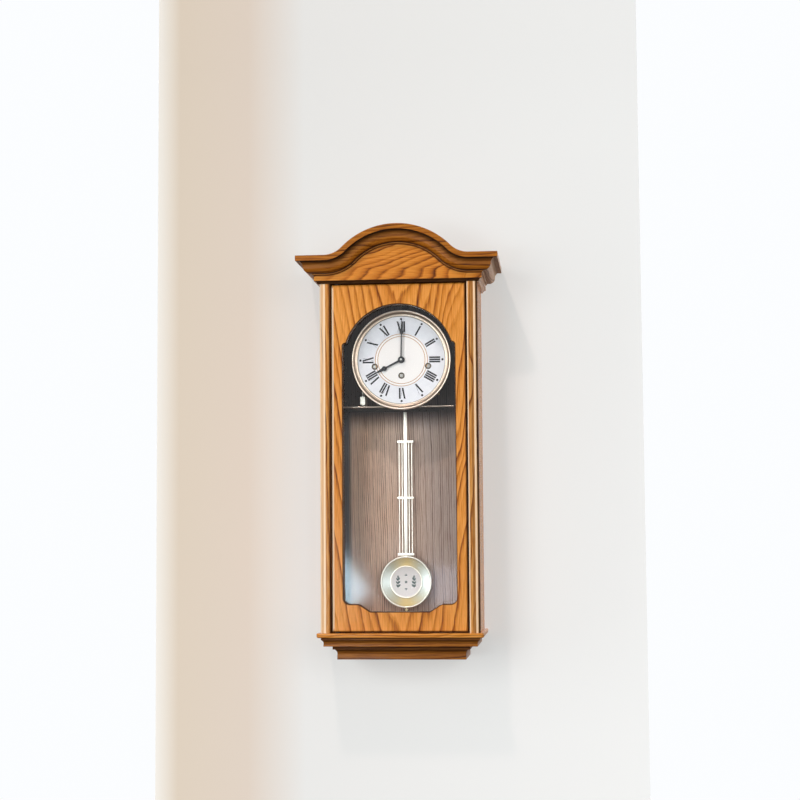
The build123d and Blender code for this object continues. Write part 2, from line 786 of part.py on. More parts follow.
def make_hands():
    middle = hour_hand_length * hour_disc_share
    tip_z = middle + hour_tip_start
    stem = make_face(Polyline((-hour_root_half, 0), (-hour_neck_half, middle),
                              (hour_neck_half, middle), (hour_root_half, 0), close=True))
    tip = make_face(Polyline((-hour_tip_half, tip_z), (0, hour_hand_length),
                             (hour_tip_half, tip_z), close=True))
    outline = Circle(hand_hub_radius) + stem + Pos(0, middle) * Circle(hour_disc_radius) + tip
    save("hour_hand", hand(outline, hour_hand_angle, hour_pipe_radius, hour_hand_rear))

    middle = minute_hand_length * minute_spade_share
    low, high = middle - minute_spade_low, middle + minute_spade_high
    neck, root, wide = minute_neck_half, minute_root_half, minute_spade_half
    stem = make_face(Polyline((-root, 0), (-neck, middle), (neck, middle), (root, 0), close=True))
    spade = make_face(Polyline((-neck, low), (-wide, middle), (-root, high),
                               (0, minute_hand_length), (root, high), (wide, middle), (neck, low),
                               close=True))
    outline = Circle(minute_hub_radius) + stem + spade
    save("minute_hand", hand(outline, minute_hand_angle, cannon_pipe_radius, minute_hand_rear))
    rear, front = minute_hand_front + hand_nut_gap, minute_hand_front + hand_nut_gap + hand_nut_thick
    nut = slab(Pos(0, dial_z) * RegularPolygon(hand_nut_radius, 6), rear, front)
    save("hand_nut", nut - at_dial(0, 0, centre_radius, rear, front))


# ---------------------------------------------------------------- movement

def plate_holes(plate, rear, front, winding_hole):
    """Pivot holes of one movement plate."""
    holes = [(0, 0, centre_radius), (third_x, third_z, arbor_radius),
             (0, escape_z, arbor_radius), (0, pivot_z, arbor_radius)]
    holes += [(x, z, winding_hole) for x, z in winding_places().values()]
    for x, z, radius in holes:
        plate = plate - at_dial(x, z, radius + running_play, rear, front)
    return plate


def pillar_places():
    return [(x, z) for x in (-pillar_x, pillar_x) for z in (pillar_low_z, pillar_high_z)]


def make_frame():
    """Two plates, the pillars between them and the stand-offs to the back panel."""
    low, high = dial_z + plate_bottom, dial_z + plate_top
    back = block(-plate_half, plate_half, outer_back, back_plate_depth, low, high)
    back = plate_holes(back, outer_back, back_plate_depth, winding_pivot_radius)
    stud = at_dial(hammer_pivot_x, hammer_pivot_z, centre_radius, back_plate_depth,
                   front_plate_depth)
    save("back_plate", back + stud)
    front = block(-plate_half, plate_half, front_plate_depth, outer_front, low, high)
    front = plate_holes(front, front_plate_depth, outer_front, winding_radius)
    stud = at_dial(0, minute_wheel_z, arbor_radius, outer_front, dial_rear - stud_gap)
    save("front_plate", front + stud)
    pillars = [at_dial(x, z, pillar_radius, back_plate_depth, front_plate_depth)
               for x, z in pillar_places()]
    save("movement_pillars", Compound(pillars))
    standoffs = [at_dial(x, z, standoff_radius, back_thick, outer_back)
                 for x, z in pillar_places()]
    save("movement_standoffs", Compound(standoffs))


def make_barrels():
    """Mainspring barrels with their great wheels, and the arbors that wind them."""
    rim_front = drum_front_depth + wheel_thick
    shoulder = back_plate_depth + winding_shoulder_gap
    square_rear = dial_rear - winding_square_start
    for name, (x, z) in winding_places().items():
        teeth = great_teeth if name == "time" else idle_great_teeth
        drum = at_dial(x, z, drum_radius, drum_rear_depth, drum_front_depth)
        rim = wheel(teeth, great_module, drum_front_depth, rim_front, x, dial_z + z, 90)
        bore = at_dial(x, z, winding_radius + running_play, drum_rear_depth, rim_front)
        save(f"{name}_barrel", drum + rim - bore)

        arbor = at_dial(x, z, winding_pivot_radius, outer_back,
                        back_plate_depth + winding_pivot_overlap)
        arbor = arbor + at_dial(x, z, winding_radius, shoulder, square_rear)
        square = Pos(x, dial_z + z) * Rectangle(winding_square, winding_square)
        save(f"winding_arbor_{name}", arbor + slab(square, square_rear,
                                                   dial_depth - winding_square_sink))


def make_train():
    """Centre, third and escape wheels, each with its pinion on one arbor."""
    to_third = math.degrees(math.atan2(third_z, third_x))
    to_escape = math.degrees(math.atan2(escape_z - third_z, -third_x))
    centre_rear, third_rear = back_plate_depth + centre_wheel_gap, back_plate_depth + third_wheel_gap
    escape_rear = back_plate_depth + escape_wheel_gap

    arbor = at_dial(0, 0, centre_radius, outer_back, minute_hand_front + centre_arbor_end)
    rim = wheel(centre_teeth, centre_module, centre_rear, centre_rear + wheel_thick, 0, dial_z,
                to_third)
    pinion = wheel(centre_pinion_teeth, great_module, drum_front_depth - centre_pinion_rear_reach,
                   drum_front_depth + wheel_thick + centre_pinion_front_reach, 0, dial_z,
                   -90 + 180 / centre_pinion_teeth)
    save("centre_wheel", arbor + rim + pinion)

    arbor = at_dial(third_x, third_z, arbor_radius, outer_back, outer_front)
    pinion = wheel(third_pinion_teeth, centre_module, centre_rear - pinion_rear_reach,
                   centre_rear + pinion_front_reach, third_x, dial_z + third_z,
                   to_third + 180 + 180 / third_pinion_teeth)
    rim = wheel(third_teeth, third_module, third_rear, third_rear + wheel_thick,
                third_x, dial_z + third_z, to_escape)
    save("third_wheel", arbor + rim + pinion)

    arbor = at_dial(0, escape_z, arbor_radius, outer_back, outer_front)
    pinion = wheel(escape_pinion_teeth, third_module, third_rear - pinion_rear_reach,
                   third_rear + pinion_front_reach, 0, dial_z + escape_z,
                   to_escape + 180 + 180 / escape_pinion_teeth)
    tooth = escape_radius / (escape_teeth / 2 + tooth_height)
    rim = wheel(escape_teeth, tooth, escape_rear, escape_rear + escape_thick, 0,
                dial_z + escape_z, 90 + 180 / escape_teeth, thin=escape_tooth_share)
    save("escape_wheel", arbor + rim + pinion)
    make_anchor(escape_rear)


def make_anchor(rear):
    """Anchor with two pallets over the escape wheel, and the crutch behind the back plate."""
    reach, turn = escape_radius + pallet_play, math.radians(pallet_angle)
    tip = (reach * math.sin(turn), escape_z + reach * math.cos(turn))
    knee = (tip[0] + knee_out, tip[1] + knee_up)
    arm = make_face(Polyline((0, pivot_z + arm_root_over), (knee[0] + arm_over, knee[1] + arm_over),
                             (tip[0] + pallet_width, tip[1]), tip,
                             (knee[0] - arm_under, knee[1] - arm_under_drop),
                             (0, pivot_z - arm_root_under), close=True))
    hub = Pos(0, pivot_z) * Circle(anchor_hub_radius)
    shape = Pos(0, dial_z) * (arm + mirror(arm, about=Plane.YZ) + hub)
    fork_z = dial_z + pivot_z - crutch_drop
    rear_face = pendulum_y + crutch_offset
    front_face = rear_face + crutch_thick
    anchor = slab(shape, rear, rear + escape_thick)
    anchor = anchor + at_dial(0, pivot_z, arbor_radius, rear_face, outer_front)
    bar = Pos(0, fork_z + crutch_drop / 2) * Rectangle(crutch_width, crutch_drop + prong_height)
    anchor = anchor + slab(bar, rear_face, front_face)
    gap = bar_width / 2 + prong_play
    fork = Pos(0, fork_z) * Rectangle(2 * (gap + prong_width), prong_height)
    anchor = anchor + slab(fork, rear_face, front_face)
    for side in (-1, 1):
        prong = Pos(side * (gap + prong_width / 2), fork_z) * Rectangle(prong_width, prong_height)
        anchor = anchor + slab(prong, pendulum_y - prong_reach, rear_face)
    save("anchor", anchor)


def make_motion_work():
    """Cannon pinion, minute wheel and hour wheel: twelve turns of the first to one of the last."""
    low, high = outer_front + minute_wheel_gap, outer_front + hour_wheel_gap
    cannon = at_dial(0, 0, cannon_pipe_radius, outer_front + cannon_gap, minute_hand_front)
    cannon = cannon + wheel(cannon_teeth, cannon_module, low, low + wheel_thick, 0, dial_z, 90)
    bore = at_dial(0, 0, centre_radius + running_play, outer_front, minute_hand_front + over)
    save("cannon_pinion", cannon - bore)

    z = dial_z + minute_wheel_z
    reverse = wheel(minute_wheel_teeth, cannon_module, low, low + wheel_thick, 0, z,
                    -90 + 180 / minute_wheel_teeth)
    reverse = reverse + wheel(minute_pinion_teeth, hour_module, low + wheel_thick,
                              high + minute_pinion_reach, 0, z, -90)
    save("minute_wheel", reverse - disc(0, z, arbor_radius + running_play, low, dial_rear))

    hour = wheel(hour_teeth, hour_module, high, high + hour_wheel_thick, 0, dial_z,
                 90 + 180 / hour_teeth)
    hour = hour + at_dial(0, 0, hour_pipe_radius, high, hour_hand_rear + hand_thick)
    bore = at_dial(0, 0, cannon_pipe_radius + running_play, high, minute_hand_rear)
    save("hour_wheel", hour - bore)


# ---------------------------------------------------------------- pendulum

def cross_bar_levels():
    lowest = bob_z + bob_radius + cross_bar_gap + cross_bar_height / 2
    return [lowest + index * cross_bar_pitch for index in range(cross_bar_count)]


def upright_rod(x, radius, low, high, depth=pendulum_y):
    """Round rod along Z, at a distance from the wall."""
    return Pos(x, -depth, (low + high) / 2) * Cylinder(radius, high - low)


def bar_body(play=0.0):
    """Flat bar of the pendulum, or the channel for it."""
    half, deep = bar_width / 2 + play, bar_thick / 2 + play
    low = bob_z - bob_radius + (-channel_end if play else bar_tongue)
    return block(-half, half, pendulum_y - deep, pendulum_y + deep, low, swing_z - spring_half)


def make_pendulum():
    cock_low = swing_z + spring_half
    save("suspension_cock", block(-cock_half, cock_half, pendulum_y - cock_half, outer_back,
                                  cock_low, cock_low + cock_height))
    half = spring_width / 2
    save("suspension_spring", block(-spring_thick / 2, spring_thick / 2, pendulum_y - half,
                                    pendulum_y + half, swing_z - spring_half, cock_low))

    bar = bar_body()
    end = bob_z - bob_radius
    save("pendulum_bar", bar + upright_rod(0, rod_radius, end - thread_length, end + thread_root))
    levels = cross_bar_levels()
    low, high = levels[0] - cross_bar_height / 2, levels[-1] + cross_bar_height / 2
    places = (-outer_rod_x, -inner_rod_x, inner_rod_x, outer_rod_x)
    rods = [upright_rod(x, rod_radius, low, high) for x in places]
    save("pendulum_rods", Compound(rods))
    bars = []
    for level in levels:
        piece = Pos(0, -pendulum_y, level) * Box(cross_bar_width, cross_bar_depth, cross_bar_height)
        piece = fillet(piece.edges().filter_by(Axis.Z), cross_bar_round) - bar
        for rod in rods:
            piece = piece - rod
        bars.append(piece)
    save("pendulum_cross_bars", Compound(bars))
    make_bob()


def make_bob():
    """Dished disc on the bar, its medallion, and the nut that carries it."""
    front, rear = pendulum_y + bob_front, pendulum_y - bob_rear
    well, inner = bob_radius - bob_rim, bob_radius - bob_edge_bevel
    seat = front - bob_dish
    section = [Line((0, -rear), (inner, -rear)),
               Line((inner, -rear), (bob_radius, -rear - bob_edge_height)),
               Line((bob_radius, -rear - bob_edge_height), (bob_radius, -front + bob_round)),
               ThreePointArc((bob_radius, -front + bob_round),
                             (bob_radius - bob_round_width, -front), (well, -front + bob_lip)),
               ThreePointArc((well, -front + bob_lip), (well / 2 + bob_belly, -seat), (0, -seat)),
               Line((0, -seat), (0, -rear))]
    bob = Pos(0, 0, bob_z) * revolve(make_face(section), axis=Axis.Y)
    base = seat - medallion_sink
    well_disc = disc(0, bob_z, medallion_radius + medallion_play, base, front + over)
    bob = bob - well_disc - bar_body(bob_channel_play)
    bob = bob - upright_rod(0, rod_radius + bob_channel_play, bob_z - bob_radius - over, bob_z)
    save("pendulum_bob", bob)
    medallion = disc(0, bob_z, medallion_radius, base, base + medallion_thick)
    medallion = fillet(medallion.edges().group_by(Axis.Y)[0], medallion_round)
    save("bob_medallion", medallion)

    top = bob_z - bob_radius - nut_play
    neck = upright_rod(0, nut_neck_radius, top - nut_neck_height, top)
    nut = upright_rod(0, nut_radius, top - nut_neck_height - nut_height, top - nut_neck_height)
    bore = upright_rod(0, rod_radius + running_play, top - thread_length, top + over)
    save("rating_nut", neck + nut - bore)


# ---------------------------------------------------------------- chime

def chime_level(index):
    return dial_z - chime_rod_drop - index * chime_rod_fall


def chime_y(index):
    return rod_front_y - index * rod_pitch


def make_chime():
    """Block on the back panel, the rods in it, and one hammer over each rod."""
    outer = -inner_half + block_gap
    inner = outer + block_width
    top = dial_z - chime_rod_drop + block_height / 2
    seat = block(outer, inner, back_thick, rod_front_y + block_front, top - block_height, top)
    rods = []
    for index in range(rod_count):
        start = inner - chime_rod_seat
        end = inner_half - chime_rod_end_gap - index * chime_rod_shortening
        rod = Cylinder(chime_rod_radius, end - start, rotation=(0, 90, 0))
        rod = Pos((start + end) / 2, -chime_y(index), chime_level(index)) * rod
        rods.append(rod)
        seat = seat - rod
    save("chime_block", seat)
    save("chime_rods", Compound(rods))
    for index in range(rod_count):
        save(f"chime_hammer_{index + 1}", hammer(index))


def hammer(index):
    """Hub on the hammer stud, arm, stem, head and tip."""
    middle = chime_y(index)
    x, pivot_height, head_top = hammer_head_x, dial_z + hammer_pivot_z, dial_z + hammer_head_top
    hub = disc(hammer_pivot_x, pivot_height, hammer_hub_radius, middle - hammer_hub_half,
               middle + hammer_hub_half)
    low, high = pivot_height - hammer_arm / 2, pivot_height + hammer_arm / 2
    arm = block(x - hammer_arm / 2, hammer_pivot_x, middle - hammer_arm_half,
                middle + hammer_arm_half, low, high)
    head_low = head_top - hammer_head_height
    head = Pos(x, -middle, (head_top + head_low) / 2) * Box(
        hammer_head_width, hammer_head_depth, hammer_head_height)
    head = fillet(head.edges().filter_by(Axis.Z), hammer_head_round)
    stem = upright_rod(x, hammer_stem_radius, head_top - hammer_root, low + hammer_root, middle)
    tip_low = chime_level(index) + chime_rod_radius + hammer_gap
    tip = upright_rod(x, hammer_tip_radius, tip_low, head_low + hammer_root, middle)
    bore = disc(hammer_pivot_x, pivot_height, centre_radius + running_play, 0, far)
    return hub + arm + stem + head + tip - bore


make_case()
make_columns()
make_base()
make_crown()
make_door()
make_dial()
make_hands()
make_frame()
make_barrels()
make_train()
make_motion_work()
make_pendulum()
make_chime()
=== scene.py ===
# %% Load the fixed frame
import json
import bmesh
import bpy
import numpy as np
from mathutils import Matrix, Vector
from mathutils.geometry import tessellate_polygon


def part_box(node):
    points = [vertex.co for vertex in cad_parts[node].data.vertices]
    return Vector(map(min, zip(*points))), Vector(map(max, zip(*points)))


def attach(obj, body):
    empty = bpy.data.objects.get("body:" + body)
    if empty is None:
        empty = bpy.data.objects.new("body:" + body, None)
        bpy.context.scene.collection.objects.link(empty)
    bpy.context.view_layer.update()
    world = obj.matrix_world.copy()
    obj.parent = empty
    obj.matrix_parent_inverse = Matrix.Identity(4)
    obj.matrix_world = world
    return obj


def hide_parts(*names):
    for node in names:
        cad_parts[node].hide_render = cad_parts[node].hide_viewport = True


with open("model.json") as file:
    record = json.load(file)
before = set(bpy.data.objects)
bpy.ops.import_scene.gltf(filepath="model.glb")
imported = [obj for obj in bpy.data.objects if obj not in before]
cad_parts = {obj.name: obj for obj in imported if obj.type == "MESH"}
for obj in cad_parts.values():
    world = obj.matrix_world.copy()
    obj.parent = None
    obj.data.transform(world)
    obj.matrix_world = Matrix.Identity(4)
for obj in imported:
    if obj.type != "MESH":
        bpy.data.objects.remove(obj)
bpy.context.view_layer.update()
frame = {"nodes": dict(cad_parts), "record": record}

# %% [markdown]
# # A pendulum wall clock in golden oak
# The clock hangs on a wall, in the plane Y = 0, and everything is in metres. The solids that were
# just loaded fix every size and every moving part. They could be dressed by giving them materials
# alone, but their curves are faceted and a dial has no numbers in a solid. So the wooden case, the
# dial, the hands and the pendulum are made again as smooth surfaces, and the flat boards keep
# their solids and only get a finish.

mm = 0.001
nodes = frame["nodes"]
bodies = frame["record"]["behaviour"]["bodies"]
body_of = {node: body for body, members in bodies.items() for node in members}
low, high = (np.array(corner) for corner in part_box("dial_plate"))
dial_middle = np.array([0.0, 0.0, (low[2] + high[2]) / 2])
dial_face = low[1]
print("loaded", len(nodes), "nodes; the dial's centre is at", dial_middle.round(4))

# %% [markdown]
# ## The camera
# The camera stands a little to the right of the clock and below its middle, and looks slightly up
# and to the left. A camera could be aimed with a Track To constraint, but a matrix made from three
# directions says exactly how it is turned. The picture is square, and its focal length in pixels
# becomes a lens in millimetres on a 36 mm sensor.

# %% Camera
yaw, pitch, roll = 0.0967, 0.0819, -0.0068
stand = (0.2424031, -2.6048703, -0.3607821)
sensor_mm, focal_pixels, picture_pixels = 36.0, 1689.459, 800
forward = np.array([-np.sin(yaw) * np.cos(pitch), np.cos(yaw) * np.cos(pitch), np.sin(pitch)])
level_right = np.array([np.cos(yaw), np.sin(yaw), 0.0])
level_up = np.cross(level_right, forward)
right = np.cos(roll) * level_right + np.sin(roll) * level_up
up = np.cos(roll) * level_up - np.sin(roll) * level_right
camera_data = bpy.data.cameras.new("camera")
camera_data.sensor_width = sensor_mm
camera_data.lens = sensor_mm * focal_pixels / picture_pixels
camera = bpy.data.objects.new("camera", camera_data)
turn = Matrix(np.column_stack([right, up, -forward]).tolist()).to_4x4()
camera.matrix_world = Matrix.Translation(stand) @ turn
bpy.context.scene.collection.objects.link(camera)
bpy.context.scene.camera = camera
print("lens", round(camera_data.lens, 2), "mm")

# %% [markdown]
# ## Shader maths
# A material is a small network of nodes. Wiring them by hand takes many lines, so a pattern is
# written here as a sum: `Wire` wraps one output and turns `+`, `-`, `*` and `/` into Math nodes.
# `Bench` makes any other node in one call: first its settings, then the values or links of its
# inputs. The patterns that come up again and again have a short name each, such as `smooth` for a
# soft step. A colour never passes through a Math node, which would turn it grey.

# %% Wire and Bench


class Wire:
    """One output of a node, which takes part in sums and products with numbers and other wires."""

    def __init__(self, bench, socket):
        self.bench, self.socket = bench, socket

    def __add__(self, other):
        return self.bench.maths("ADD", self, other)

    def __sub__(self, other):
        return self.bench.maths("SUBTRACT", self, other)

    def __rsub__(self, other):
        return self.bench.maths("SUBTRACT", other, self)

    def __mul__(self, other):
        return self.bench.maths("MULTIPLY", self, other)

    def __truediv__(self, other):
        return self.bench.maths("DIVIDE", self, other)

    __radd__, __rmul__ = __add__, __mul__


class Bench:
    """A new material and the means to lay out its nodes."""

    def __init__(self, name):
        self.material = bpy.data.materials.new(name)
        self.material.use_nodes = True
        self.tree = self.material.node_tree
        self.tree.nodes.clear()

    def node(self, kind, settings=None, inputs=None, output=0):
        """Add a node, give it its settings and inputs, and return one of its outputs as a wire."""
        made = self.tree.nodes.new("ShaderNode" + kind)
        for key, value in (settings or {}).items():
            if key == "stops":
                ramp = made.color_ramp
                while len(ramp.elements) < len(value):
                    ramp.elements.new(0.5)
                for element, (place, colour) in zip(ramp.elements, value):
                    element.position, element.color = place, colour
            else:
                setattr(made, key, value)
        for key, value in (inputs or {}).items():
            if isinstance(value, Wire):
                self.tree.links.new(value.socket, made.inputs[key])
            else:
                made.inputs[key].default_value = value
        return Wire(self, made.outputs[output])

    def maths(self, operation, *values):
        return self.node("Math", {"operation": operation}, dict(enumerate(values)))

    def distance(self, a, b):
        return self.maths("SQRT", a * a + b * b)

    def smooth(self, value, low, high, start=0.0, end=1.0):
        """Go softly from start to end while the value goes from low to high."""
        return self.node("MapRange", {"interpolation_type": "SMOOTHSTEP"},
                         {"Value": value, 1: low, 2: high, 3: start, 4: end})

    def ramp(self, factor, *stops):
        return self.node("ValToRGB", {"stops": stops}, {"Fac": factor})

    def mix(self, share, first, second, how="MIX"):
        """Blend two colours."""
        return self.node("Mix", {"data_type": "RGBA", "blend_type": how},
                         {0: share, 6: first, 7: second}, output=2)

    def darken(self, share, colour, by):
        """Multiply a colour by (red, green, blue), as far as the share says."""
        return self.mix(share, colour, self.mix(1.0, colour, (*by, 1), "MULTIPLY"))

    def blend(self, share, first, second):
        """Blend two surfaces."""
        return self.node("MixShader", None, {0: share, 1: first, 2: second})

    def noise(self, place, scale, detail=2.0, roughness=0.5):
        return self.node("TexNoise", None, {"Vector": place, "Scale": scale, "Detail": detail,
                                            "Roughness": roughness})

    def place(self):
        """The shaded point, in the object's own coordinates."""
        return self.node("TexCoord", output=3)

    def parts(self, vector):
        """The x, y and z of a vector as three wires."""
        split = self.node("SeparateXYZ", None, {0: vector})
        return [Wire(self, output) for output in split.socket.node.outputs]

    def joined(self, x, y, z):
        return self.node("CombineXYZ", None, {0: x, 1: y, 2: z})

    def about(self, middle):
        """Millimetres across and up from a middle, and the distance from it."""
        place = self.node("VectorMath", {"operation": "SUBTRACT"},
                          {0: self.place(), 1: tuple(middle)})
        x, _, z = [part * 1000.0 for part in self.parts(place)]
        return x, z, self.distance(x, z)

    def layer(self, name):
        """A number that the mesh carries at its points."""
        return self.node("Attribute", {"attribute_name": name}, output=2)

    def bump(self, height, strength, distance):
        return self.node("Bump", None, {"Strength": strength, "Distance": distance,
                                        "Height": height})

    def close(self, surface):
        """End the material with a surface that is ready."""
        end = self.tree.nodes.new("ShaderNodeOutputMaterial")
        self.tree.links.new(surface.socket, end.inputs[0])
        return self.material

    def finish(self, **inputs):
        """Close the material with a Principled shader whose inputs are named with underscores."""
        named = {key.replace("_", " "): value for key, value in inputs.items()}
        return self.close(self.node("BsdfPrincipled", None, named))


def tint(red, green, blue):
    """A colour picked on a screen, 0 to 255, as the linear numbers that a shader takes."""
    screen = np.array([red, green, blue]) / 255
    linear = np.where(screen <= 0.04045, screen / 12.92, ((screen + 0.055) / 1.055) ** 2.4)
    return (*linear.tolist(), 1.0)


print("a grey of 128 on a screen is", round(tint(128, 128, 128)[0], 3), "in a shader")

# %% [markdown]
# ## Oak
# Oak is ring-porous: each year starts with a dark band of coarse pores and fades into pale, dense
# wood. A picture of planks could be wrapped round the boards, but its lines would break at every
# corner. Here the rings are worked out in space instead, as the distance from the middle of a
# trunk that leans through the board. Where a flat face cuts them they draw the nested V shapes of
# a plain-sawn board, and on an edge they run on as straight lines, as in real wood.

# %% Oak finish


def window_distance(bench, x, z):
    """Distance outside the door's opening in centimetres, from a distance rule for each part.

    The opening is a tall box with rounded corners, joined with the circle of the arch and with a
    sloping tray at the foot. Being inside all sides of one part takes the larger of two distances,
    and joining parts takes the smaller.
    """
    half, foot, head = 8.36, -45.64, -7.06
    arch_middle, arch_radius = -9.53, 8.2
    tray_half, tray_foot, slope_x, slope_z = 4.35, -46.74, 0.532, 0.847

    def rounded_corner(across, along, radius):
        across, along = across + radius, along + radius
        far = bench.distance(bench.maths("MAXIMUM", across, 0.0),
                             bench.maths("MAXIMUM", along, 0.0))
        near = bench.maths("MINIMUM", bench.maths("MAXIMUM", across, along), 0.0)
        return far + near - radius

    side = bench.maths("ABSOLUTE", x)
    box = bench.maths("MAXIMUM", rounded_corner(side - half, foot - z, 0.96),
                      rounded_corner(side - half, z - head, 0.45))
    arch = bench.distance(x, z - arch_middle) - arch_radius
    slope = (side - tray_half) * slope_x - (z - tray_foot) * slope_z
    tray = bench.maths("MAXIMUM", bench.maths("MAXIMUM", slope, tray_foot - z), z - foot)
    return bench.maths("MINIMUM", bench.maths("MINIMUM", box, arch), tray)


def oak(name, along, heart, taper, spacing, tones, gloss=0.26, seed=0.0, sway=1.0, shaded_inside=None,
        field=None, opening=False):
    """Finish of one board.

    along is the axis of the grain. heart gives the trunk's middle across the two other axes, and
    the place along the grain where the V shapes start, all in centimetres. taper is the widening
    of the rings per centimetre of length, spacing the width of a year's growth, and sway how much
    the trunk wanders. tones are the dark of a ring, the middle, the pale wood and the deep colour
    of the pores, as picked on a screen. The half width of the case inside, when given, darkens the
    board inside it as painted shade. field gives the half width and the top of the light part of
    the back panel; outside it the panel is darkened as painted shade, and the panel darkens and
    cools towards the right as painted light. opening adds the dark line that runs round the door's
    window: partly a dark arris, partly painted shade in the reveal.
    """
    bench = Bench(name)
    x, y, z = [part * 100.0 for part in bench.parts(bench.place())]
    length, across, depth = {"x": (x, z, y), "z": (z, x, y), "y": (y, z, x)}[along]

    def grain(lengthwise, crosswise, detail, roughness=0.5, start=seed):
        """Noise that is drawn out along the grain."""
        drawn_out = bench.joined(length * lengthwise + start, across * crosswise,
                                 depth * crosswise)
        return bench.noise(drawn_out, 1.0, detail, roughness)

    wander = grain(0.07, 0.35, 1.0) - 0.5
    ripple = grain(0.22, 1.1, 2.0) - 0.5
    from_heart = bench.distance(across - heart[0] + wander * (2.2 * sway), depth - heart[1])
    years = (from_heart - (length - heart[2]) * taper + wander * (1.3 * sway)
             + ripple * (0.34 * sway)) / spacing
    vigour = bench.node("TexWhiteNoise", {"noise_dimensions": "1D"},
                        {"W": bench.maths("FLOOR", years) + seed})
    dark, middle, pale, deep = [tint(*tone) for tone in tones]
    through_a_year = ((0.0, 0.5), (0.09, 1.0), (0.30, 0.5), (0.60, 0.12), (0.90, 0.0), (1.0, 0.5))
    ring = bench.ramp(bench.maths("FRACT", years),
                      *[(time, (tone, tone, tone, 1)) for time, tone in through_a_year])
    ring = bench.node("RGBToBW", None, {0: ring}) * (vigour + 0.25)
    strands = grain(0.35, 9.0, 4.0, 0.62)
    pores = bench.smooth(grain(1.6, 46.0, 2.0, start=0.0), 0.54, 0.70)
    strength = ring * 0.66 + (strands - 0.5) * 1.30 + 0.08
    body = bench.ramp(strength, (0.0, pale), (0.36, middle), (0.74, dark), (1.0, deep))
    patch = bench.noise(bench.joined(length * 0.10, across * 0.25, depth * 0.25 + seed), 1.0, 1.0)
    body = bench.darken((patch - 0.35) * 1.1, body, (0.88, 0.72, 0.55))
    holes = pores * (ring * 0.8 + 0.15)
    colour = bench.mix(holes * 0.7, body, deep)
    # Painted shade: inside the case the board is darkened.
    if shaded_inside is not None:
        inside = bench.maths("LESS_THAN", bench.maths("ABSOLUTE", x), shaded_inside)
        colour = bench.darken(inside, colour, (0.16, 0.20, 0.30))
    # Painted light and shade on the back panel: it darkens and cools towards the right, and it is
    # darkened beside the stiles and at the top round the movement.
    if field is not None:
        half, top = field
        in_front = bench.maths("LESS_THAN", y, -0.4)
        beside = bench.smooth(bench.maths("ABSOLUTE", x + 0.25), half - 1.0, half - 0.1)
        above = bench.smooth(z, top - 3.2, top + 0.3)
        colour = bench.darken(bench.smooth(x, -5.0, 4.0), colour, (0.71, 0.77, 0.88))
        colour = bench.darken(beside * in_front, colour, (0.13, 0.17, 0.24))
        colour = bench.darken(above * in_front, colour, (0.14, 0.12, 0.13))
    # A dark line round the window: partly a dark arris, partly painted shade in the reveal.
    if opening:
        rim = bench.smooth(window_distance(bench, x, z), 0.10, 0.17, 1.0, 0.0)
        colour = bench.mix(rim * 0.88, colour, tint(44, 26, 16))
    # Painted shade, as much as the mesh carries at each point.
    glaze = bench.layer("glaze")
    colour = bench.mix(glaze * 0.94, colour, tint(28, 13, 6))
    # Painted highlight, as much as the mesh carries at each point.
    colour = bench.mix(bench.layer("rubbed"), colour, tint(250, 222, 186))
    relief = bench.bump(1.0 - holes - ring * 0.2, 0.22, 0.0002)
    dull = holes * 0.3 + (strands - 0.5) * 0.10 + glaze * 0.5 + gloss
    return bench.finish(Base_Color=colour, Roughness=dull, Normal=relief, Specular_IOR_Level=0.12,
                        Coat_Weight=(1.0 - glaze) * 0.05, Coat_Roughness=0.12)


golden = ((142, 72, 12), (206, 130, 44), (232, 158, 76), (74, 34, 6))
orange = ((112, 56, 8), (190, 112, 32), (220, 146, 58), (48, 22, 4))
# This tone is oak darkened as painted shade, for the mouldings whose faces turn down.
shaded_brown = ((80, 38, 4), (142, 80, 14), (178, 110, 32), (38, 16, 3))
chestnut = ((112, 56, 10), (182, 116, 44), (212, 152, 80), (58, 26, 4))
# This tone is oak lightened as painted light, for the crown's side returns.
lit_peach = ((126, 74, 32), (192, 136, 82), (214, 164, 116), (70, 36, 14))
smoked = ((152, 118, 102), (220, 184, 162), (248, 220, 196), (86, 66, 60))
oak_door = oak("oak_door", "z", (0.2, -8.0, -20.0), 0.15, 0.82, golden, seed=3.0, opening=True)
oak_crown = oak("oak_crown", "x", (1.2, -9.4, -14.0), 0.27, 0.66, orange, seed=7.0)
oak_moulding = oak("oak_moulding", "x", (-3.0, -9.0, 2.0), 0.03, 0.50, shaded_brown, seed=1.0, sway=0.7)
oak_plate = oak("oak_plate", "x", (-56.0, -9.0, 2.0), 0.04, 0.50, golden, seed=9.0)
oak_base = oak("oak_base", "x", (-58.0, -8.0, 2.0), 0.02, 0.34, shaded_brown, seed=4.0, sway=0.35)
oak_column = oak("oak_column", "z", (5.0, -9.0, -30.0), 0.03, 0.50, chestnut, seed=5.0)
oak_side = oak("oak_side", "z", (20.0, -6.5, -20.0), 0.035, 0.42, golden, seed=11.0, shaded_inside=10.56)
oak_return = oak("oak_return", "y", (1.0, 2.0, -4.0), 0.05, 0.5, lit_peach, seed=13.0)
oak_back = oak("oak_back", "z", (16.0, 5.0, -24.0), 0.02, 0.30, smoked, gloss=0.5, seed=17.0,
               sway=0.8, field=(9.0, -16.6))
print(len(bpy.data.materials), "materials so far; golden oak's middle tone is", golden[1])

# %% [markdown]
# ## Metals, glass and paint
# The bob, the bezel and the pendulum are lacquered brass; the plates of the movement are brushed
# brass, and its arbors are steel. One function makes all of them. Fine noise that is stretched
# along one direction stands for the brushing, and it only stirs roughness and colour a little.

# %% Metals, glass and paint


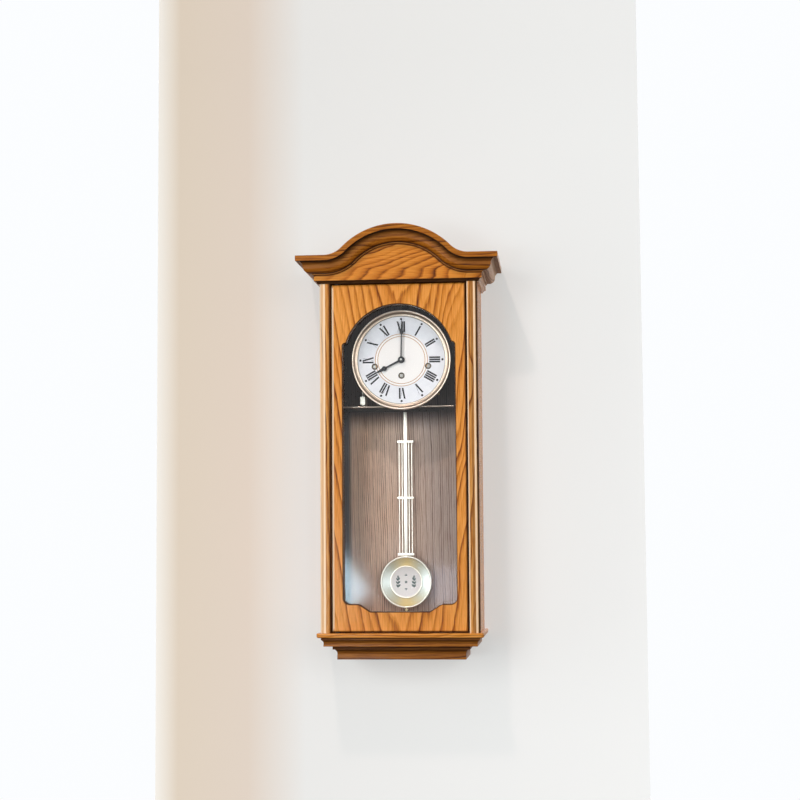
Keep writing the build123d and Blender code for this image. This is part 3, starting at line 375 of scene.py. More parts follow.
def metal(name, colour, wear_and_highlight, roughness, stretch=(1.0, 1.0, 1.0), fine=900.0, metallic=1.0):
    """Metal with brush marks: stretch squeezes the noise along the brushing."""
    bench = Bench(name)
    place = bench.place()
    squeezed = bench.node("VectorMath", {"operation": "MULTIPLY"}, {0: place, 1: stretch})
    marks = bench.noise(squeezed, fine, 3.0, 0.6)
    cloud = bench.noise(place, 60.0)
    shade = bench.mix(cloud * 0.5 + marks * 0.25, tint(*colour), tint(*wear_and_highlight))
    # Painted shade and reflection: where a piece carries them, its colour is darkened.
    shade = bench.mix(bench.layer("glaze"), shade, tint(104, 76, 54))
    return bench.finish(Base_Color=shade, Metallic=metallic,
                        Normal=bench.bump(marks, 0.05, 0.00005),
                        Roughness=(marks - 0.5) * 0.16 + (cloud - 0.5) * 0.10 + roughness)


brass = metal("polished_brass", (240, 224, 182), (216, 194, 140), 0.26)
bezel_brass = metal("bezel_brass", (246, 232, 216), (222, 198, 172), 0.34)
pale_brass = metal("pale_brass", (252, 248, 238), (240, 232, 214), 0.38)
brass_plate = metal("plate_brass", (214, 186, 112), (184, 152, 84), 0.34, (0.05, 1.0, 1.0))
steel = metal("bright_steel", (205, 206, 208), (160, 162, 166), 0.24, (1.0, 1.0, 0.1))
aged_steel = metal("aged_steel", (172, 170, 164), (128, 124, 116), 0.34)
iron = metal("painted_iron", (40, 36, 36), (26, 22, 22), 0.45, metallic=0.2)
bronze = metal("bronze_rods", (208, 176, 132), (170, 136, 96), 0.30, (0.02, 1.0, 1.0))
blacked = metal("blacked_steel", (22, 24, 30), (12, 13, 17), 0.30, metallic=0.3)
hammer_head = metal("hammer_head", (244, 242, 232), (206, 202, 184), 0.42, fine=300.0,
                    metallic=0.6)
enamel = metal("enamel", (252, 250, 246), (244, 240, 232), 0.30, metallic=0.0)


def clear_glass():
    """Thin pane: mostly clear, with a mirror's share that grows towards grazing angles."""
    bench = Bench("clear_glass")
    edge = bench.node("Fresnel", None, {"IOR": 1.45})
    behind = bench.node("NewGeometry", output=6)
    dust = bench.noise(bench.place(), 18.0, 3.0)
    clear = bench.node("BsdfTransparent", None, {"Color": (0.99, 0.995, 0.995, 1)})
    shine = bench.node("BsdfGlossy", None, {"Color": (0.6, 0.6, 0.6, 1), "Roughness": 0.06})
    share = (edge * 1.5 + (dust - 0.5) * 0.01) * (1.0 - behind)
    return bench.close(bench.blend(share, clear, shine))


glass = clear_glass()
print(len(bpy.data.materials), "materials so far")

# %% Give every loaded node its finish
finishes = [
    (oak_door, "door_panel glass_beads"), (oak_side, "left_side right_side"),
    (oak_column, "left_column right_column"), (oak_crown, "crown_frieze_front"),
    (oak_moulding, "crown_arch_moulding case_top_board crown_cover_board"),
    (oak_return, "crown_return_left crown_return_right crown_frieze_left crown_frieze_right"),
    (oak_plate, "base_plate"), (oak_base, "base_cove base_foot"), (oak_back, "back_panel"),
    (glass, "door_glass"), (enamel, "dial_plate bob_medallion"),
    (hammer_head, "chime_hammer_1 chime_hammer_2 chime_hammer_3 chime_hammer_4"),
    (blacked, "hour_hand minute_hand hand_nut cannon_pinion"),
    (iron, "magnetic_catch chime_block hanger_plate door_pivots"),
    (bronze, "chime_rods"),
    (steel, "strike_plate movement_pillars movement_standoffs anchor suspension_spring "
            "third_wheel escape_wheel"),
    (aged_steel, "centre_wheel winding_arbor_time winding_arbor_strike winding_arbor_chime"),
    (brass, "dial_bezel winding_grommets pendulum_bar pendulum_rods "
            "pendulum_cross_bars pendulum_bob rating_nut suspension_cock"),
    (brass_plate, "front_plate back_plate time_barrel strike_barrel chime_barrel "
                  "minute_wheel hour_wheel")]
for finish, names in finishes:
    for name in names.split():
        mesh = nodes[name].data
        mesh.materials.clear()
        mesh.materials.append(finish)
print("finished", sum(len(names.split()) for _, names in finishes), "of", len(nodes), "nodes")

# %% [markdown]
# ## Surfaces from arrays
# A turned or carved piece could be modelled by hand or with a Screw modifier. Here each one is a
# grid of points that is worked out as a whole array: one direction of the grid runs along the
# profile and the other round the piece. `Solid` collects such grids and closes their ends, and
# `piece` puts them into a mesh, welds the seams and gives the piece its body and finish.

# %% Grids, turned shapes and pieces
order_of_axis = {"x": [2, 0, 1], "y": [0, 2, 1], "z": [0, 1, 2]}


def full_turn(count):
    """Angles in equal steps round a circle."""
    return np.linspace(0, 2 * np.pi, count, endpoint=False)


class Solid:
    """Points and faces of one piece, gathered grid by grid."""

    def __init__(self):
        self.points, self.faces, self.glaze, self.rubbed, self.count = [], [], [], [], 0

    def add(self, points, faces, glaze=0.0, rubbed=0.0):
        """Take in points, and faces whose corners are numbered from self.count."""
        self.faces += faces
        self.points.append(points.reshape(-1, 3))
        self.glaze.append(np.broadcast_to(glaze, points.shape[:-1]).ravel())
        self.rubbed.append(np.broadcast_to(rubbed, points.shape[:-1]).ravel())
        self.count += len(self.points[-1])
        return self

    def grid(self, points, closed=(False, True), caps=False, glaze=0.0, rubbed=0.0):
        """Faces between neighbours of a (rows, columns, 3) array; caps close first and last row.

        The last two arguments give, from 0 to 1 at each point, how much painted shade darkens it
        and how much painted highlight lightens it.
        """
        rows, columns = points.shape[:2]
        index = self.count + np.arange(rows * columns).reshape(rows, columns)
        ends = [index[0].tolist(), index[-1].tolist()] if caps else []
        if closed[0]:
            index = np.vstack([index, index[:1]])
        if closed[1]:
            index = np.hstack([index, index[:, :1]])
        quads = np.stack([index[:-1, :-1], index[:-1, 1:], index[1:, 1:], index[1:, :-1]], -1)
        return self.add(points, quads.reshape(-1, 4).tolist() + ends, glaze, rubbed)

    def plate(self, level, outer, *holes):
        """Flat face at one y between an outer outline and the holes inside it."""
        flat = np.vstack([outer, *holes])
        points = np.column_stack([flat[:, 0], np.full(len(flat), level), flat[:, 1]])
        ends = np.cumsum([len(outer)] + [len(hole) for hole in holes])
        loops = [[Vector(point) for point in loop] for loop in np.split(points, ends[:-1])]
        triangles = tessellate_polygon(loops)
        return self.add(points, [[self.count + corner for corner in face] for face in triangles])

    def object(self, name, finish, body, sharp):
        """Mesh object with welded seams, outward normals and smooth curves, riding on a body."""
        mesh = bpy.data.meshes.new(name)
        mesh.from_pydata(np.vstack(self.points), [], self.faces)
        for name_of, values in (("glaze", self.glaze), ("rubbed", self.rubbed)):
            layer = mesh.attributes.new(name_of, "FLOAT", "POINT")
            layer.data.foreach_set("value", np.concatenate(values).astype(np.float32))
        work = bmesh.new()
        work.from_mesh(mesh)
        bmesh.ops.remove_doubles(work, verts=work.verts, dist=1e-7)
        bmesh.ops.dissolve_degenerate(work, edges=work.edges, dist=1e-8)
        bmesh.ops.recalc_face_normals(work, faces=work.faces)
        open_edges = sum(not edge.is_manifold for edge in work.edges)
        work.to_mesh(mesh)
        work.free()
        mesh.shade_smooth()
        mesh.set_sharp_from_angle(angle=np.radians(sharp))
        mesh.materials.append(finish)
        made = bpy.data.objects.new(name, mesh)
        bpy.context.scene.collection.objects.link(made)
        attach(made, body)
        print(name, len(mesh.polygons), "faces,", open_edges, "open edges")
        return made


def piece(name, solid, finish, *stands_for, sharp=35.0):
    """Mesh object of a solid that replaces the named nodes and moves with their body."""
    made = solid.object(name, finish, body_of[stands_for[0]], sharp)
    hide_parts(*stands_for)
    return made


def turned(profile, middle, axis="y", count=160):
    """Surface of revolution: every (radius, height) goes round the axis through the middle."""
    angle = full_turn(count)
    radius, height = np.asarray(profile, float).T[:, :, None]
    ring = np.stack([radius * np.cos(angle), radius * np.sin(angle),
                     np.broadcast_to(height, (len(height), count))], -1)
    return ring[..., order_of_axis[axis]] + np.asarray(middle)


def oval(across, up, wide, high, angle):
    """Points (across + wide cos a, up + high sin a) for an array of angles a."""
    return np.column_stack([across + wide * np.cos(angle), up + high * np.sin(angle)])


def spin(degrees):
    """Matrix that turns rows of (x, z) clockwise."""
    turn = np.radians(degrees)
    return np.array([[np.cos(turn), -np.sin(turn)], [np.sin(turn), np.cos(turn)]])


def rounded(corners, radii, steps=7, rest=0.0):
    """Closed outline whose corners are arcs; rest adds points on the straight beside each arc.

    An arc is the weighted curve ((1-t)^2 a + 2wt(1-t) c + t^2 b) / ((1-t)^2 + 2wt(1-t) + t^2)
    with w the sine of half the corner's angle.
    """
    corners = np.asarray(corners, float)
    back, ahead = np.roll(corners, 1, 0) - corners, np.roll(corners, -1, 0) - corners
    back /= np.linalg.norm(back, axis=1)[:, None]
    ahead /= np.linalg.norm(ahead, axis=1)[:, None]
    half = np.arccos(np.clip((back * ahead).sum(1), -1, 1)) / 2
    cut = (np.broadcast_to(radii, len(corners)) / np.tan(half))[:, None, None]
    weight = np.sin(half)[:, None, None]
    t = np.linspace(0, 1, steps)[None, :, None]
    corner, back, ahead = corners[:, None], back[:, None], ahead[:, None]
    first, second, third = (1 - t) ** 2, 2 * weight * t * (1 - t), t**2
    curve = first * (corner + back * cut) + second * corner + third * (corner + ahead * cut)
    curve /= first + second + third
    before, after = corner + back * (cut + rest), corner + ahead * (cut + rest)
    return np.concatenate([before, curve, after], 1) if rest else curve


def arc(first, through, last, count=9):
    """Points on the circle through three points, without the first."""
    (ax, ay), (bx, by), (cx, cy) = first, through, last
    a, b, c = ax**2 + ay**2, bx**2 + by**2, cx**2 + cy**2
    twice = 2 * (ax * (by - cy) + bx * (cy - ay) + cx * (ay - by))
    x = (a * (by - cy) + b * (cy - ay) + c * (ay - by)) / twice
    y = (a * (cx - bx) + b * (ax - cx) + c * (bx - ax)) / twice
    bearings = np.unwrap([np.arctan2(v - y, u - x) for u, v in (first, through, last)])
    angle = np.linspace(bearings[0], bearings[2], count)[1:]
    radius = np.hypot(ax - x, ay - y)
    return oval(x, y, radius, radius, angle)


def prism(outline, low, high, axis, edge=0.0):
    """Straight piece over a closed outline, with its two end edges drawn in by edge.

    The outline is shrunk towards its own middle at both ends, which gives a fine bevel.
    """
    outline = np.asarray(outline, float)
    middle = (outline.max(0) + outline.min(0)) / 2
    reach = np.abs(outline - middle).max()
    inner = middle + (outline - middle) * (1 - edge / reach)
    rows = ((inner, low), (outline, low + edge), (outline, high - edge), (inner, high))
    grid = np.stack([np.column_stack([row, np.full(len(row), level)]) for row, level in rows])
    return grid[..., order_of_axis[axis]]


def round_outline(radius, height=0.0, count=40, side=0.0):
    """Circle as a closed outline of (x, z) points."""
    return oval(side, height, radius, radius, full_turn(count))


def standing(loops):
    """Rows of (outline, y) as one array of points."""
    return np.stack([np.column_stack([loop[:, 0], np.full(len(loop), y), loop[:, 1]])
                     for loop, y in loops])


def dense(outline, step):
    """The same closed outline with a point at least every step along it."""
    ring = np.vstack([outline, outline[:1]])
    walk = np.concatenate([[0], np.cumsum(np.linalg.norm(np.diff(ring, axis=0), axis=1))])
    places = np.union1d(walk, np.arange(0, walk[-1], step))[:-1]
    return np.column_stack([np.interp(places, walk, ring[:, part]) for part in (0, 1)])

# %% [markdown]
# ## The dial
# The dial is a white disc with a slightly pearly outer zone, inside a turned brass bezel. The
# numbers could be a picture, but a picture blurs when the camera comes close. So each stroke is a
# thin raised bar, placed in a plain table: the side step and slant of every stroke of a number.
# The number then turns round the dial as a whole, with its foot towards the centre.

# %% Dial, gilt rings, dots and hours


def dial_finish():
    """White paint with a silvery outer zone, darkened with painted shade where it meets the bezel.
    """
    bench = Bench("dial_white")
    x, z, radius = bench.about(dial_middle)
    pearl = bench.noise(bench.joined(x * 0.10, 0.0, z * 0.10), 1.0, 3.0)
    specks = bench.noise(bench.joined(x * 2.4, 0.0, z * 2.4), 1.0)
    silver = bench.mix(pearl * 0.8 + specks * 0.3, tint(222, 221, 229), tint(247, 248, 251))
    zone = bench.smooth(radius, 39.0, 40.5)
    colour = bench.mix(zone, tint(250, 246, 243), silver)
    # Painted shade where the dial meets the bezel.
    colour = bench.mix(bench.smooth(radius, 65.3, 66.3, end=0.75), colour, tint(112, 112, 98))
    return bench.finish(Base_Color=colour, Roughness=specks * 0.1 + 0.42,
                        Metallic=zone * 0.02 + 0.11, Specular_IOR_Level=0.4)


def spot(x, z, radius, height, top, count):
    """Low round button on the dial, from its face up to a height."""
    profile = np.array([(0, -0.2), (radius, -0.2), (radius, top * 0.5), (radius * 0.8, top),
                        (0, top)])
    profile[:, 1] = height - profile[:, 1] * mm
    profile[:, 0] *= mm
    return turned(profile, dial_middle + np.array([x * mm, 0, z * mm]), "y", count)


dial_z, front_y, rear_y = dial_middle[2] / mm, -80.5, -79.5
dial_radius, hole_radius = 74.0, 3.6
winding = ((-40.4, -9.7), (0.0, -23.7), (40.4, -9.7))
disc_edge = round_outline(dial_radius, dial_z, 160)
holes = [round_outline(hole_radius, dial_z + z, 32, x) for x, z in winding]
disc = Solid()
for level in (front_y, rear_y):
    disc.plate(level * mm, disc_edge * mm, *[hole * mm for hole in holes])
for outline in (disc_edge, *holes):
    disc.grid(standing([(outline, front_y), (outline, rear_y)]) * mm)
piece("dial_disc", disc, dial_finish(), "dial_plate")

rings = Solid()
for radius in (35.8, 39.5):
    section = oval(radius, front_y, 0.45, 0.14, full_turn(8)) * mm
    rings.grid(turned(section, (0, 0, dial_middle[2]), count=200), closed=(True, True))

strokes = {"I": [(0.0, 0.0, 1)], "V": [(-1.5, -3.2, 1), (1.7, 2.6, 0)],
           "X": [(0.0, -4.6, 1), (0.0, 4.2, 0)]}
widths = {"I": 3.3, "V": 5.6, "X": 6.2}
thick, thin, foot_radius, head_radius, dot_ring = 2.45, 0.35, 42.3, 58.7, 62.2


def hour_strokes(numeral):
    """Rows of (side step, slant, thickness) of a numeral's strokes, centred on its middle."""
    steps = np.array([widths[letter] for letter in numeral])
    middles = np.cumsum(steps) - steps / 2 - steps.sum() / 2
    return [(middle + step, slant, thick if is_thick else thin)
            for letter, middle in zip(numeral, middles)
            for step, slant, is_thick in strokes[letter]]


def bar(side, slant, width, inner, outer, turn):
    """Flat bar of a numeral between two radii, turned clockwise round the dial."""
    across = np.array([-width, width, width, -width]) / 2 + side
    across += np.array([-slant, -slant, slant, slant]) / 2
    along = np.array([inner, inner, outer, outer])
    x = across * np.cos(turn) + along * np.sin(turn)
    z = -across * np.sin(turn) + along * np.cos(turn)
    outline = np.column_stack([x, z + dial_z]) * mm
    return prism(outline, dial_face - 0.10 * mm, dial_face + 0.02 * mm, "y")


numbers = Solid()
for hour, numeral in enumerate("XII I II III IIII V VI VII VIII IX X XI".split()):
    turn = np.radians(30.0 * hour)
    for side, slant, width in hour_strokes(numeral):
        numbers.grid(bar(side, slant, width, foot_radius, head_radius, turn), caps=True)
        serifs = ((foot_radius + 0.15, -slant / 2), (head_radius - 0.15, slant / 2))
        for radius, lean in serifs if width == thick else ():
            serif = bar(side + lean, 0.0, width + 0.8, radius - 0.15, radius + 0.15, turn)
            numbers.grid(serif, caps=True)
    x, z = dot_ring * np.sin(turn), dot_ring * np.cos(turn)
    numbers.grid(spot(x, z, 1.7, dial_face, 0.12, 16), caps=True)

gilt = metal("gilt", (196, 146, 88), (168, 116, 62), 0.4, metallic=0.4)
ink = metal("dial_ink", (8, 11, 20), (4, 6, 12), 0.8, metallic=0.0)
rings.object("dial_rings", gilt, "case", 35)
numbers.object("dial_numbers", ink, "case", 35)

# %% [markdown]
# ## Bezel, grommets and hands
# The bezel is turned: a bright outer bead, a hollow that mirrors the dark case, and a bright inner
# bead. The hollow and the inner flank are also darkened in their colour, as painted reflection of
# the dark case and painted shade. The profile is a list of radius and height, swept round the
# dial's axis.

# %% Bezel and winding grommets
bead = np.linspace(0, np.pi, 9)
outer_bead = oval(74.0, 84.2, 1.5, 1.5, bead)
inner_bead = oval(67.3, 81.7, 0.8, 0.8, bead)
hollow_run = np.linspace(0, 1, 7)[1:-1]
hollow = np.column_stack([72.5 + (68.1 - 72.5) * hollow_run,
                          84.2 + (81.7 - 84.2) * hollow_run - 0.6 * np.sin(np.pi * hollow_run)])
bezel = np.vstack([[(75.5, 79.6)], outer_bead, hollow, inner_bead,
                   [(66.5, 80.5), (74.05, 80.5), (74.05, 79.6)]])
bezel[:, 1] *= -1
# Painted reflection and shade: the hollow and the inner flank are darkened.
bezel_painted_dark = np.zeros(len(bezel))
bezel_painted_dark[9:17] = [0.25, 0.65, 0.7, 0.6, 0.55, 0.7, 0.1, 0.0]
bezel_painted_dark[-6:-2] = 0.7
bezel_solid = Solid().grid(turned(bezel * mm, (0, 0, dial_middle[2]), count=256),
                           closed=(True, True), glaze=bezel_painted_dark[:, None])
piece("dial_bezel_ring", bezel_solid, bezel_brass, "dial_bezel", sharp=50)

grommets = Solid()
eye = np.array([(3.0, 79.5), (3.0, 80.9), (3.3, 81.1), (4.5, 81.1), (4.8, 80.8), (4.8, 80.5),
                (4.0, 80.5), (4.0, 79.5)]) * (1, -1)
for x, z in winding:
    middle = (x * mm, 0, dial_middle[2] + z * mm)
    grommets.grid(turned(eye * mm, middle, count=48), closed=(True, True))
grommet_steel = metal("grommet_steel", (96, 88, 78), (60, 54, 48), 0.4)
piece("dial_grommets", grommets, grommet_steel, "winding_grommets")

# %% Hands


def hand_outline(table):
    """Both sides of a hand from a table of half widths and heights, mirrored about its middle."""
    table = np.asarray(table, float)
    return np.vstack([table, table[::-1] * (-1, 1)])


def hand_piece(name, parts, clockwise, rear, node):
    """Hand built of flat outlines, turned clockwise round the dial."""
    solid = Solid()
    for outline in parts:
        placed = outline @ spin(clockwise) + (0, dial_z)
        solid.grid(prism(placed * mm, -(rear + 0.8) * mm, -rear * mm, "y", 0.12 * mm), caps=True)
    return piece(name, solid, blacked, node)


hand_piece("hour_pointer", [
    round_outline(5.1), hand_outline([(1.6, 3.0), (1.3, 26.4), (1.3, 28.0)]),
    round_outline(3.8, 28.9), hand_outline([(1.2, 31.0), (2.4, 32.6), (1.8, 36.5), (0.4, 44.0)])],
    243.0, 83.0, "hour_hand")
hand_piece("minute_pointer", [
    round_outline(4.1), hand_outline([(1.1, 2.0), (0.95, 37.6), (1.8, 38.9), (2.9, 41.2),
                                      (2.6, 43.4), (1.5, 46.4), (0.9, 54.0), (0.3, 62.6)])],
    1.5, 86.2, "minute_hand")

# %% [markdown]
# ## The pendulum
# A gridiron pendulum was built of rods of two metals so that heat would not change its length.
# This one only looks like it: a flat bar, four thin rods, three cross bars, and a dished bob with
# an enamelled medallion. The bob is turned from one profile, from its rim down into the dish.

# %% Pendulum
swing_y, swing_z, bob_z = -25.3 * mm, -52.0 * mm, -426.6 * mm
bob_radius = 39.6


def bar_grid(half, deep, low, high, edge):
    """Upright bar in the pendulum's plane, with softened long edges."""
    outline = rounded([(-half, swing_y - deep), (half, swing_y - deep), (half, swing_y + deep),
                       (-half, swing_y + deep)], edge, 4)
    return prism(outline.reshape(-1, 2), low, high, "z", edge)


bar_half = 1.75 * mm
rod_profile = np.array([(0.0, 0.0), (1.0, 0.0), (1.0, 1.0), (0.0, 1.0)])
cross_levels = bob_z + (bob_radius + 0.6 + 1.75) * mm + np.arange(3) * 0.23 * (swing_z - bob_z)
shaft = Solid().grid(bar_grid(2.45 * mm, 1.0 * mm, bob_z - 37.6 * mm, swing_z - 4.2 * mm, 0.3 * mm),
                     caps=True)
thread = np.linspace(0, 16, 129)
thread_profile = np.column_stack([1.0 - 0.14 * (np.arange(129) % 4 > 1), thread]) * mm
thread_profile = np.vstack([[(0, 0)], thread_profile, [(1.0 * mm, 20 * mm), (0, 20 * mm)]])
shaft.grid(turned(thread_profile, (0, swing_y, bob_z - 55.6 * mm), "z", 24))
piece("pendulum_shaft", shaft, pale_brass, "pendulum_bar")

rods = Solid()
low_rod, high_rod = cross_levels[0] - bar_half, cross_levels[-1] + bar_half
rod = rod_profile * (1.0 * mm, high_rod - low_rod)
for x in (-9.7, -5.2, 5.2, 9.7):
    rods.grid(turned(rod, (x * mm, swing_y, low_rod), "z", 20))
piece("pendulum_grid", rods, pale_brass, "pendulum_rods")

bars = Solid()
outline = rounded([(-12.75, -27.3), (12.75, -27.3), (12.75, -23.3), (-12.75, -23.3)], 0.8, 5)
outline = outline.reshape(-1, 2) * mm
for level in cross_levels:
    bars.grid(prism(outline, level - bar_half, level + bar_half, "z", 0.25 * mm), caps=True)
piece("pendulum_bars", bars, pale_brass, "pendulum_cross_bars")


def spun_brass():
    """Brass with fine turning marks round the bob's axis.

    Spun metal shows a fan of light: pale to the sides, warm above and below, darker in between.
    Here the fan is painted into the colour as a painted reflection. With b the bearing, the tones
    follow cos 2b and the dark parts cos 4b.
    """
    bench = Bench("spun_brass")
    x, z, radius = bench.about((0.0, 0.0, bob_z))
    marks = bench.noise(bench.joined(radius * 5.0, 0.0, 0.0), 1.0, 3.0, 0.7)
    sway = bench.noise(bench.joined(x * 0.05, z * 0.05, 3.0), 1.0) * 0.5 - 0.25
    bearing = bench.maths("ARCTAN2", z, x) + sway
    facing = bench.maths("COSINE", bearing * 2.0)
    between = bench.maths("COSINE", bearing * 4.0)
    colour = bench.mix(0.5 - facing * 0.5, tint(214, 220, 214), tint(190, 164, 112))
    colour = bench.darken((0.5 - between * 0.5) * 0.6, colour, (0.45, 0.48, 0.50))
    colour = bench.darken(marks * 0.5, colour, (0.72, 0.72, 0.72))
    return bench.finish(Base_Color=colour, Metallic=0.7, Normal=bench.bump(marks, 0.06, 0.00005),
                        Roughness=(marks - 0.5) * 0.14 + 0.42, Specular_IOR_Level=0.3)


rim = oval(38.1, 29.9, 1.5, 1.6, np.linspace(0, np.pi, 13))
dish_run = np.linspace(0, 1, 17)[1:]
dish = np.column_stack([36.6 + (25.1 - 36.6) * dish_run, 29.9 - 1.1 * np.sin(dish_run * np.pi / 2)])
bob = np.vstack([[(0.0, 22.5), (37.6, 22.5), (39.4, 23.6), (bob_radius, 24.6)], rim, dish,
                 [(25.1, 28.5), (0.0, 28.5)]])
bob[:, 1] *= -1
bob_piece = piece("bob_dish", Solid().grid(turned(bob * mm, (0, 0, bob_z), count=256)),
                  spun_brass(), "pendulum_bob", sharp=60)


def second_finish(made, finish, inside, outside):
    """Give a second finish to the faces between two distances from the bob's axis."""
    made.data.materials.append(finish)
    faces = made.data.polygons
    centres = np.zeros(3 * len(faces))
    faces.foreach_get("center", centres)
    away = np.hypot(centres[0::3], centres[2::3] - bob_z)
    chosen = (away > inside * mm) & (away < outside * mm)
    faces.foreach_set("material_index", chosen.astype(np.int32))


second_finish(bob_piece, pale_brass, 36.7, 39.55)

medallion_enamel = metal("medallion_enamel", (255, 253, 252), (252, 247, 244), 0.5,
                         fine=500.0, metallic=0.0)
medal = np.array([(0.0, 28.5), (24.6, 28.5), (24.8, 28.9), (24.8, 29.6), (24.4, 30.05),
                  (23.6, 30.1), (22.9, 29.9), (22.6, 29.6), (0.0, 29.6)]) * (1, -1)
medal_solid = Solid().grid(turned(medal * mm, (0, 0, bob_z), count=160))
medallion = piece("medallion_disc", medal_solid, medallion_enamel, "bob_medallion", sharp=50)
second_finish(medallion, pale_brass, 22.6, 30.0)


def leaf(x, z, length, width, turn):
    """Pointed leaf on the medallion: half width = width * sin(pi * t) along its length."""
    t = np.linspace(0, 1, 11)
    half = np.column_stack([width * np.sin(np.pi * t), t * length])
    outline = np.vstack([half, (half * (-1, 1))[-2:0:-1]])
    placed = outline @ spin(turn) + (x, z + bob_z / mm)
    return prism(placed * mm, -29.72 * mm, -29.55 * mm, "y")


sprigs = Solid()
for side in (-1, 1):
    for z, length, turn in ((-8.5, 6.0, 28), (-7.5, 5.6, -38), (-3.5, 6.0, 34), (-2.5, 5.4, -34),
                            (1.5, 5.6, 30), (2.5, 5.0, -26), (5.0, 5.4, 4)):
        sprigs.grid(leaf(side * 12.0, z, length, 1.25, side * turn), caps=True)
    sprigs.grid(leaf(side * 12.0, -9.5, 15.0, 0.5, 0), caps=True)
for turn in range(0, 360, 60):
    sprigs.grid(leaf(0, 0, 2.6, 0.55, turn), caps=True)
for z, turn in ((9.5, 0), (-9.5, 180)):
    for length, width, aside in ((3.4, 0.7, 0), (2.6, 0.6, 60), (2.6, 0.6, -60)):
        sprigs.grid(leaf(0, z, length, width, turn + aside), caps=True)
sprig_paint = metal("sprig_paint", (70, 96, 102), (98, 114, 104), 0.5, metallic=0.0)
sprigs.object("medallion_sprigs", sprig_paint, "bob", 35)

# %% [markdown]
# ## Rating nut, chime rods and hammers
# The nut under the bob is knurled: its radius swings in and out round the edge. The four chime
# rods are plain drawn bronze, with the rods behind the front one darkened as painted shade, and
# the hammers keep their solids.

# %% Rating nut and chime rods
count = 96
angle = full_turn(count)
knurl = 1 - 0.035 * (np.arange(count) % 4 > 1)
steps = np.array([(1.05, 0.0), (2.2, 0.0), (2.2, 1.5), (3.9, 1.6), (4.5, 2.0), (4.5, 4.6),
                  (3.9, 5.0), (1.05, 5.0)])
radius = steps[:, :1] * np.where(steps[:, :1] > 4.2, knurl, 1.0)
nut_top = bob_z - (bob_radius + 0.08) * mm
nut = np.stack([radius * np.cos(angle) * mm, swing_y + radius * np.sin(angle) * mm,
                np.broadcast_to(nut_top - steps[:, 1:] * mm, radius.shape)], -1)
piece("rating_nut_knurled", Solid().grid(nut, closed=(True, True)), brass, "rating_nut")

chimes = Solid()
for row in range(4):
    start, end = -97.0, 78.0 - 8 * row
    tube = [(0, start), (1.3, start), (1.3, end - 0.4), (0.9, end), (0, end)]
    level = dial_middle[2] - (69.5 + 1.8 * row) * mm
    chimes.grid(turned(np.array(tube) * mm, (0, -(66 - 7 * row) * mm, level), "x", 24))


def chime_finish():
    """Drawn bronze, bright at the front rod and darkened towards the back panel as painted shade.
    """
    bench = Bench("chime_bronze")
    depth = bench.parts(bench.place())[1] * 1000.0
    # Painted shade on the rods behind the front one.
    back = bench.node("MapRange", None, {"Value": depth, 1: -64.0, 2: -61.0, 3: 0.0, 4: 1.0})
    colour = bench.mix(back, tint(190, 174, 160), tint(40, 34, 32))
    return bench.finish(Base_Color=colour, Metallic=0.9, Roughness=0.34)


piece("chime_bronze", chimes, chime_finish(), "chime_rods")

# %% [markdown]
# ## The crown
# The crown moulding is one shaped section that follows the swan arch, with straight returns back
# to the wall and mitred corners. It could be swept with a curve object, but a curve bevel does
# not cut a mitre. Here the section's drop is measured square to the arch and its outset towards
# the viewer; at the ends the level part simply runs on by the outset, which is the mitre. Values
# for the points of the section darken its hollows and undersides as painted shade, and lighten
# two of its edges as painted highlights.

# %% Crown moulding, returns and frieze
crown_z, moulding_z = 18.4, 57.6
corner_x, corner_y = 125.0, 135.5
level_end, hollow_radius, top_radius = 107, 37, 113
crown_turn = np.arcsin(level_end / (hollow_radius + top_radius))
sides = ((1, "right"), (-1, "left"))


def arch_line():
    """Top line of the crown as (x, z) points, with the direction square to it and downwards."""
    hollow = np.linspace(0, crown_turn, 22)
    rise = np.column_stack([hollow_radius * np.sin(hollow) - level_end,
                            hollow_radius * (1 - np.cos(hollow)) + moulding_z])
    rise_down = np.column_stack([np.sin(hollow), -np.cos(hollow)])
    swing = np.linspace(-crown_turn, crown_turn, 80)[1:-1]
    middle_z = moulding_z + (hollow_radius + top_radius) * (1 - np.cos(crown_turn)) - top_radius
    top = np.column_stack([top_radius * np.sin(swing), middle_z + top_radius * np.cos(swing)])
    top_down = -np.column_stack([np.sin(swing), np.cos(swing)])
    line = np.vstack([[(-corner_x, moulding_z)], rise, top, rise[::-1] * (-1, 1),
                      [(corner_x, moulding_z)]])
    down = np.vstack([[(0, -1)], rise_down, top_down, rise_down[::-1] * (-1, 1), [(0, -1)]])
    return line, down


line, down = arch_line()
section = np.vstack([
    [(0, 0), (24.1, 0), (24.5, -0.4), (24.5, -0.9), (24.5, -7.3), (24.5, -7.8), (24.1, -8.2),
     (17.7, -8.2), (17.7, -9.0)],
    arc((17.7, -9.0), (15.3, -11.6), (14.4, -15.4)),
    arc((14.4, -15.4), (12.3, -21.6), (4.8, -24.6)), [(2.2, -24.6)],
    arc((2.2, -24.6), (1.8, -26.18), (0, -26.8), 6)])
outset, drop = section[:, 0], -section[:, 1]
# Painted shade under the top band, down the upper hollow, in the quirk above the bead and at the
# foot of the moulding.
painted_shade_amounts = np.interp(drop, [0, 7.9, 8.2, 9.2, 12.0, 15.0, 23.2, 24.6, 25.0, 26.3, 26.8],
                    [0, 0, 1.0, 0.9, 0.55, 0.20, 0.10, 0.9, 0.0, 0.1, 1.0])

swept = line[:, None] + down[:, None] * drop[None, :, None]
swept[0, :, 0] -= outset
swept[-1, :, 0] += outset
arch = np.stack([swept[..., 0], np.broadcast_to(-corner_y - outset, swept.shape[:2]),
                 swept[..., 1]], -1)
